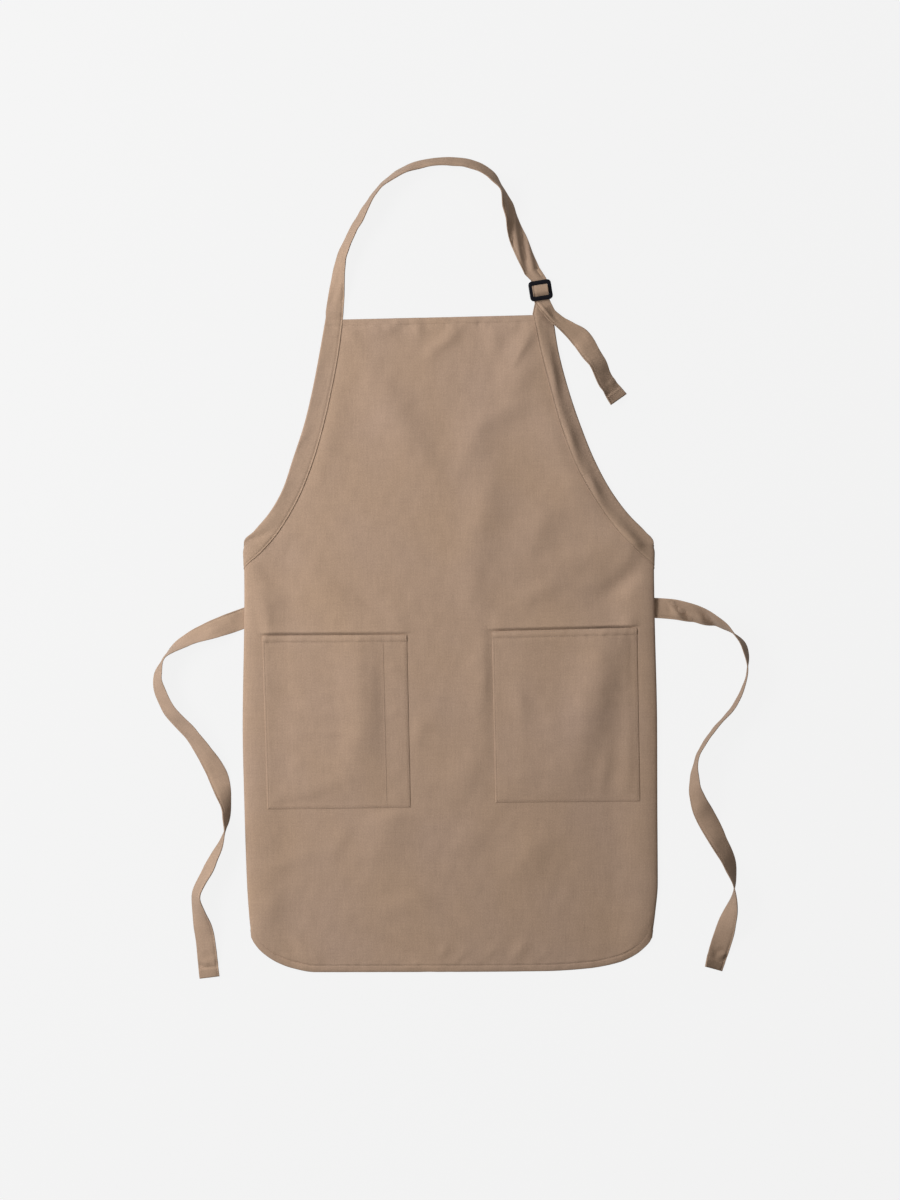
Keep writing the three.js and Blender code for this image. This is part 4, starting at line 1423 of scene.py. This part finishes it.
def twill_material(name, colour, sizes):
    """Cloth of the twill group, read from the piece's own cut and made the first time it is asked for."""
    known = bpy.data.materials.get(name)
    if known:
        return known
    material, shader = principled(name, TWILL_FINISH)
    nodes = material.node_tree.nodes
    link = material.node_tree.links.new
    cut = nodes.new("ShaderNodeUVMap")
    cut.uv_map = "cloth"
    weave = nodes.new("ShaderNodeGroup")
    weave.node_tree = bpy.data.node_groups.get("Twill weave") or twill_group()
    set_inputs(weave, {"Colour": (*colour, 1.0), "Pitch": sizes.weave_pitch, "Depth": WEAVE_SHADE})
    bump = nodes.new("ShaderNodeBump")
    set_inputs(bump, WEAVE_BUMP)
    link(cut.outputs["UV"], weave.inputs["Cut"])
    link(weave.outputs["Colour"], shader.inputs["Base Color"])
    link(weave.outputs["Roughness"], shader.inputs["Roughness"])
    link(weave.outputs["Height"], bump.inputs["Height"])
    link(bump.outputs["Normal"], shader.inputs["Normal"])
    return material


def panel_cloth(scene):
    """Twill of the panel and pockets."""
    return twill_material("Tan twill", scene.apron_colours.cloth, scene.apron_sizes)


def strip_cloth(scene):
    """Twill of the folded strips."""
    return twill_material("Tan twill strip", scene.apron_colours.strip, scene.apron_sizes)


def plastic_material(name, colour):
    """Half-gloss moulded plastic with a faint uneven skin."""
    material, shader = principled(name, {"Base Color": (*colour, 1.0), **PLASTIC_FINISH})
    nodes = material.node_tree.nodes
    link = material.node_tree.links.new
    place = nodes.new("ShaderNodeTexCoord")
    grain = nodes.new("ShaderNodeTexNoise")
    set_inputs(grain, {"Scale": SKIN_SCALE})
    bump = nodes.new("ShaderNodeBump")
    set_inputs(bump, SKIN_BUMP)
    link(place.outputs["Object"], grain.inputs["Vector"])
    link(grain.outputs["Fac"], bump.inputs["Height"])
    link(bump.outputs["Normal"], shader.inputs["Normal"])
    return material


class ApronSizes(bpy.types.PropertyGroup):
    """Sizes that a maker would change first."""

    cloth_thickness: FloatProperty(
        name="Cloth thickness", description="Thickness of one layer of twill", default=0.0009, unit="LENGTH")
    hem_thickness: FloatProperty(
        name="Hem thickness", description="Thickness of a turned and stitched hem",
        default=0.0016, unit="LENGTH")
    weave_pitch: FloatProperty(
        name="Weave pitch", description="Distance between the twill's slanting ribs",
        default=0.0011, unit="LENGTH")
    stitch_pitch: FloatProperty(
        name="Stitch pitch", description="Distance from one stitch to the next",
        default=0.0032, unit="LENGTH")
    thread_width: FloatProperty(
        name="Thread width", description="Width of the sewing thread", default=0.0005, unit="LENGTH")
    panel_cut: FloatVectorProperty(
        name="Panel cut", description="Width and length the panel was cut to", size=2,
        default=(0.565, 0.85), unit="LENGTH")
    panel_area: FloatProperty(
        name="Panel area", description="Flat area of the panel's cut", default=0.43, unit="AREA")
    strip_cut: FloatProperty(
        name="Strip cut", description="Width a strip was cut to before it was folded and turned in",
        default=0.062, unit="LENGTH")


class ApronColours(bpy.types.PropertyGroup):
    """Colours of the apron and its floor."""

    cloth: FloatVectorProperty(
        name="Cloth", description="Colour of the panel and pockets", subtype="COLOR", size=3,
        default=(0.405, 0.28, 0.2))
    strip: FloatVectorProperty(
        name="Strips", description="Colour of the strap, bindings and ties", subtype="COLOR", size=3,
        default=(0.385, 0.267, 0.19))
    thread: FloatVectorProperty(
        name="Thread", description="Colour of the stitches", subtype="COLOR", size=3,
        default=(0.46, 0.335, 0.25))
    buckle: FloatVectorProperty(
        name="Buckle", description="Colour of the slide buckle", subtype="COLOR", size=3,
        default=(0.004, 0.004, 0.008))
    floor: FloatVectorProperty(
        name="Floor", description="Colour of the floor", subtype="COLOR", size=3, default=(0.9, 0.9, 0.9))


class ApronStage(bpy.types.PropertyGroup):
    """Camera and light."""

    camera_height: FloatProperty(
        name="Camera height", description="Height of the camera above the floor", default=6.0, unit="LENGTH")
    picture_height: FloatProperty(
        name="Picture height", description="Height of the floor in the picture", default=1.524, unit="LENGTH")
    picture_middle: FloatVectorProperty(
        name="Picture middle", description="Point of the floor in the picture's middle", size=2,
        default=(-0.0009, -0.0406), unit="LENGTH")
    lamp_place: FloatVectorProperty(
        name="Lamp place", description="Middle of the main soft lamp", size=3,
        default=(-1.5, 0.3, 1.2), unit="LENGTH")
    lamp_power: FloatProperty(
        name="Lamp power", description="Power of the main soft lamp in watts", default=45.0)
    top_lamp_place: FloatVectorProperty(
        name="Top lamp place", description="Middle of the weak lamp beyond the neck loop", size=3,
        default=(-0.2, 2.0, 0.9), unit="LENGTH")
    top_lamp_power: FloatProperty(
        name="Top lamp power", description="Power of the weak lamp in watts", default=11.0)
    lamp_size: FloatVectorProperty(
        name="Lamp size", description="Length and height of each lamp", size=2,
        default=(1.9, 0.7), unit="LENGTH")
    fill: FloatProperty(
        name="Fill", description="Strength of the even light from all round", default=0.2)
    floor_glow: FloatProperty(
        name="Floor glow", description="Share of the floor's brightness that shadows do not dim",
        default=0.97)


class APRON_OT_panel(bpy.types.Operator):
    """Builds the apron's front panel"""

    bl_idname = "apron.panel"
    bl_label = "Front panel"

    def execute(self, context):
        build_panel(context.scene.apron_sizes, panel_cloth(context.scene))
        return {"FINISHED"}


class APRON_OT_pockets(bpy.types.Operator):
    """Builds the two patch pockets"""

    bl_idname = "apron.pockets"
    bl_label = "Pockets"

    def execute(self, context):
        for pocket in POCKETS:
            build_pocket(pocket, context.scene.apron_sizes, panel_cloth(context.scene))
        return {"FINISHED"}


class APRON_OT_straps(bpy.types.Operator):
    """Builds the neck strap and the buckle strap with their armhole bindings"""

    bl_idname = "apron.straps"
    bl_label = "Straps and bindings"

    def execute(self, context):
        cloth = strip_cloth(context.scene)
        build_neck_strap(cloth)
        build_buckle_strap(cloth)
        return {"FINISHED"}


class APRON_OT_ties(bpy.types.Operator):
    """Builds the two waist ties"""

    bl_idname = "apron.ties"
    bl_label = "Waist ties"

    def execute(self, context):
        cloth = strip_cloth(context.scene)
        build_tie("left", LEFT_TIE, LEFT_TIE_SEED, cloth)
        build_tie("right", RIGHT_TIE, RIGHT_TIE_SEED, cloth)
        return {"FINISHED"}


class APRON_OT_buckle(bpy.types.Operator):
    """Builds the slide buckle"""

    bl_idname = "apron.buckle"
    bl_label = "Slide buckle"

    def execute(self, context):
        build_buckle(plastic_material("Black plastic", context.scene.apron_colours.buckle))
        return {"FINISHED"}


class APRON_OT_stitches(bpy.types.Operator):
    """Builds the rows of stitches"""

    bl_idname = "apron.stitches"
    bl_label = "Stitches"

    def execute(self, context):
        sizes = context.scene.apron_sizes
        colour = context.scene.apron_colours.thread
        thread, _ = principled("Sewing thread", {"Base Color": (*colour, 1.0), **THREAD_FINISH})
        build_stitches("hem_stitches", panel_stitch_lines(sizes), sizes, thread)
        build_stitches("pocket_stitches", pocket_stitch_lines(sizes), sizes, thread)
        bindings = [binding_stitch_line(LEFT_BINDING), binding_stitch_line(RIGHT_BINDING)]
        build_stitches("binding_stitches", bindings, sizes, thread)
        straps = run_stitch_lines(NECK_RUN, NECK_SEED, BINDING_HALF, hemmed=False)
        straps += run_stitch_lines(FREE_END, FREE_END_SEED)
        build_stitches("strap_stitches", straps, sizes, thread)
        ties = run_stitch_lines(LEFT_TIE, LEFT_TIE_SEED)
        ties += run_stitch_lines(RIGHT_TIE, RIGHT_TIE_SEED)
        build_stitches("tie_stitches", ties, sizes, thread)
        return {"FINISHED"}


class APRON_OT_stage(bpy.types.Operator):
    """Sets up the floor, the light and the camera"""

    bl_idname = "apron.stage"
    bl_label = "Floor, light and camera"

    def execute(self, context):
        build_floor(context.scene)
        build_light(context.scene)
        build_camera(context.scene)
        return {"FINISHED"}


def build_floor(scene, side=60.0):
    """Pale floor that shows to the camera and hardly lights the apron."""
    form = bmesh.new()
    bmesh.ops.create_grid(form, x_segments=1, y_segments=1, size=side / 2.0)
    floor = mesh_object("floor", form)
    glow = scene.apron_stage.floor_glow
    colour = scene.apron_colours.floor
    material, _ = principled("Pale floor", {
        "Base Color": (*[(1.0 - glow) * part for part in colour], 1.0),
        "Emission Color": (*colour, 1.0),
        "Emission Strength": glow,
        **FLOOR_FINISH,
    })
    floor.data.materials.append(material)
    floor.visible_diffuse = False
    floor.visible_glossy = False


def build_lamp(scene, name, place, power):
    """Soft lamp that shines at the apron's middle."""
    size = scene.apron_stage.lamp_size
    light = bpy.data.lights.new(name, "AREA")
    light.energy = power
    light.shape = "RECTANGLE"
    light.size = size[0]
    light.size_y = size[1]
    lamp = linked(name, light)
    lamp.location = place
    lamp.rotation_euler = (-Vector(place)).to_track_quat("-Z", "Y").to_euler()


def build_light(scene):
    """A soft lamp from the left, a weak one from the top and an even fill."""
    stage = scene.apron_stage
    build_lamp(scene, "Main lamp", stage.lamp_place, stage.lamp_power)
    build_lamp(scene, "Top lamp", stage.top_lamp_place, stage.top_lamp_power)
    world = bpy.data.worlds.new("Pale room")
    world.use_nodes = True
    nodes = world.node_tree.nodes
    links = world.node_tree.links
    back = nodes["Background"]
    path = nodes.new("ShaderNodeLightPath")
    strength = nodes.new("ShaderNodeMix")
    strength.inputs["A"].default_value = stage.fill
    strength.inputs["B"].default_value = scene.apron_colours.floor[0]
    links.new(path.outputs["Is Camera Ray"], strength.inputs["Factor"])
    links.new(strength.outputs["Result"], back.inputs["Strength"])
    back.inputs["Color"].default_value = FILL_COLOUR
    scene.world = world
    scene.view_settings.view_transform = "Standard"


def build_camera(scene):
    """Long lens straight above the apron."""
    stage = scene.apron_stage
    camera = bpy.data.cameras.new("Camera")
    camera.sensor_width = FILM_WIDTH
    camera.lens = camera.sensor_width * stage.camera_height / stage.picture_height
    camera.clip_end = CLIP_END
    view = linked("Camera", camera)
    view.location = (*stage.picture_middle, stage.camera_height)
    scene.camera = view


class APRON_PT_sidebar(bpy.types.Panel):
    """Buttons for each part of the apron"""

    bl_idname = "APRON_PT_sidebar"
    bl_label = "Bib apron"
    bl_space_type = "VIEW_3D"
    bl_region_type = "UI"
    bl_category = "Apron"

    def draw(self, context):
        for operator in OPERATORS:
            self.layout.operator(operator.bl_idname)


OPERATORS = (
    APRON_OT_panel,
    APRON_OT_pockets,
    APRON_OT_straps,
    APRON_OT_ties,
    APRON_OT_buckle,
    APRON_OT_stitches,
    APRON_OT_stage,
)
CLASSES = (ApronSizes, ApronColours, ApronStage, *OPERATORS, APRON_PT_sidebar)


def register():
    """Adds the add-on's classes and settings."""
    for item in CLASSES:
        bpy.utils.register_class(item)
    bpy.types.Scene.apron_sizes = PointerProperty(type=ApronSizes)
    bpy.types.Scene.apron_colours = PointerProperty(type=ApronColours)
    bpy.types.Scene.apron_stage = PointerProperty(type=ApronStage)


def unregister():
    """Takes the add-on's classes and settings away."""
    del bpy.types.Scene.apron_stage
    del bpy.types.Scene.apron_colours
    del bpy.types.Scene.apron_sizes
    for item in reversed(CLASSES):
        bpy.utils.unregister_class(item)


def main():
    register()
    bpy.ops.apron.panel()
    bpy.ops.apron.pockets()
    bpy.ops.apron.straps()
    bpy.ops.apron.ties()
    bpy.ops.apron.buckle()
    bpy.ops.apron.stitches()
    bpy.ops.apron.stage()


if __name__ == "__main__":
    main()
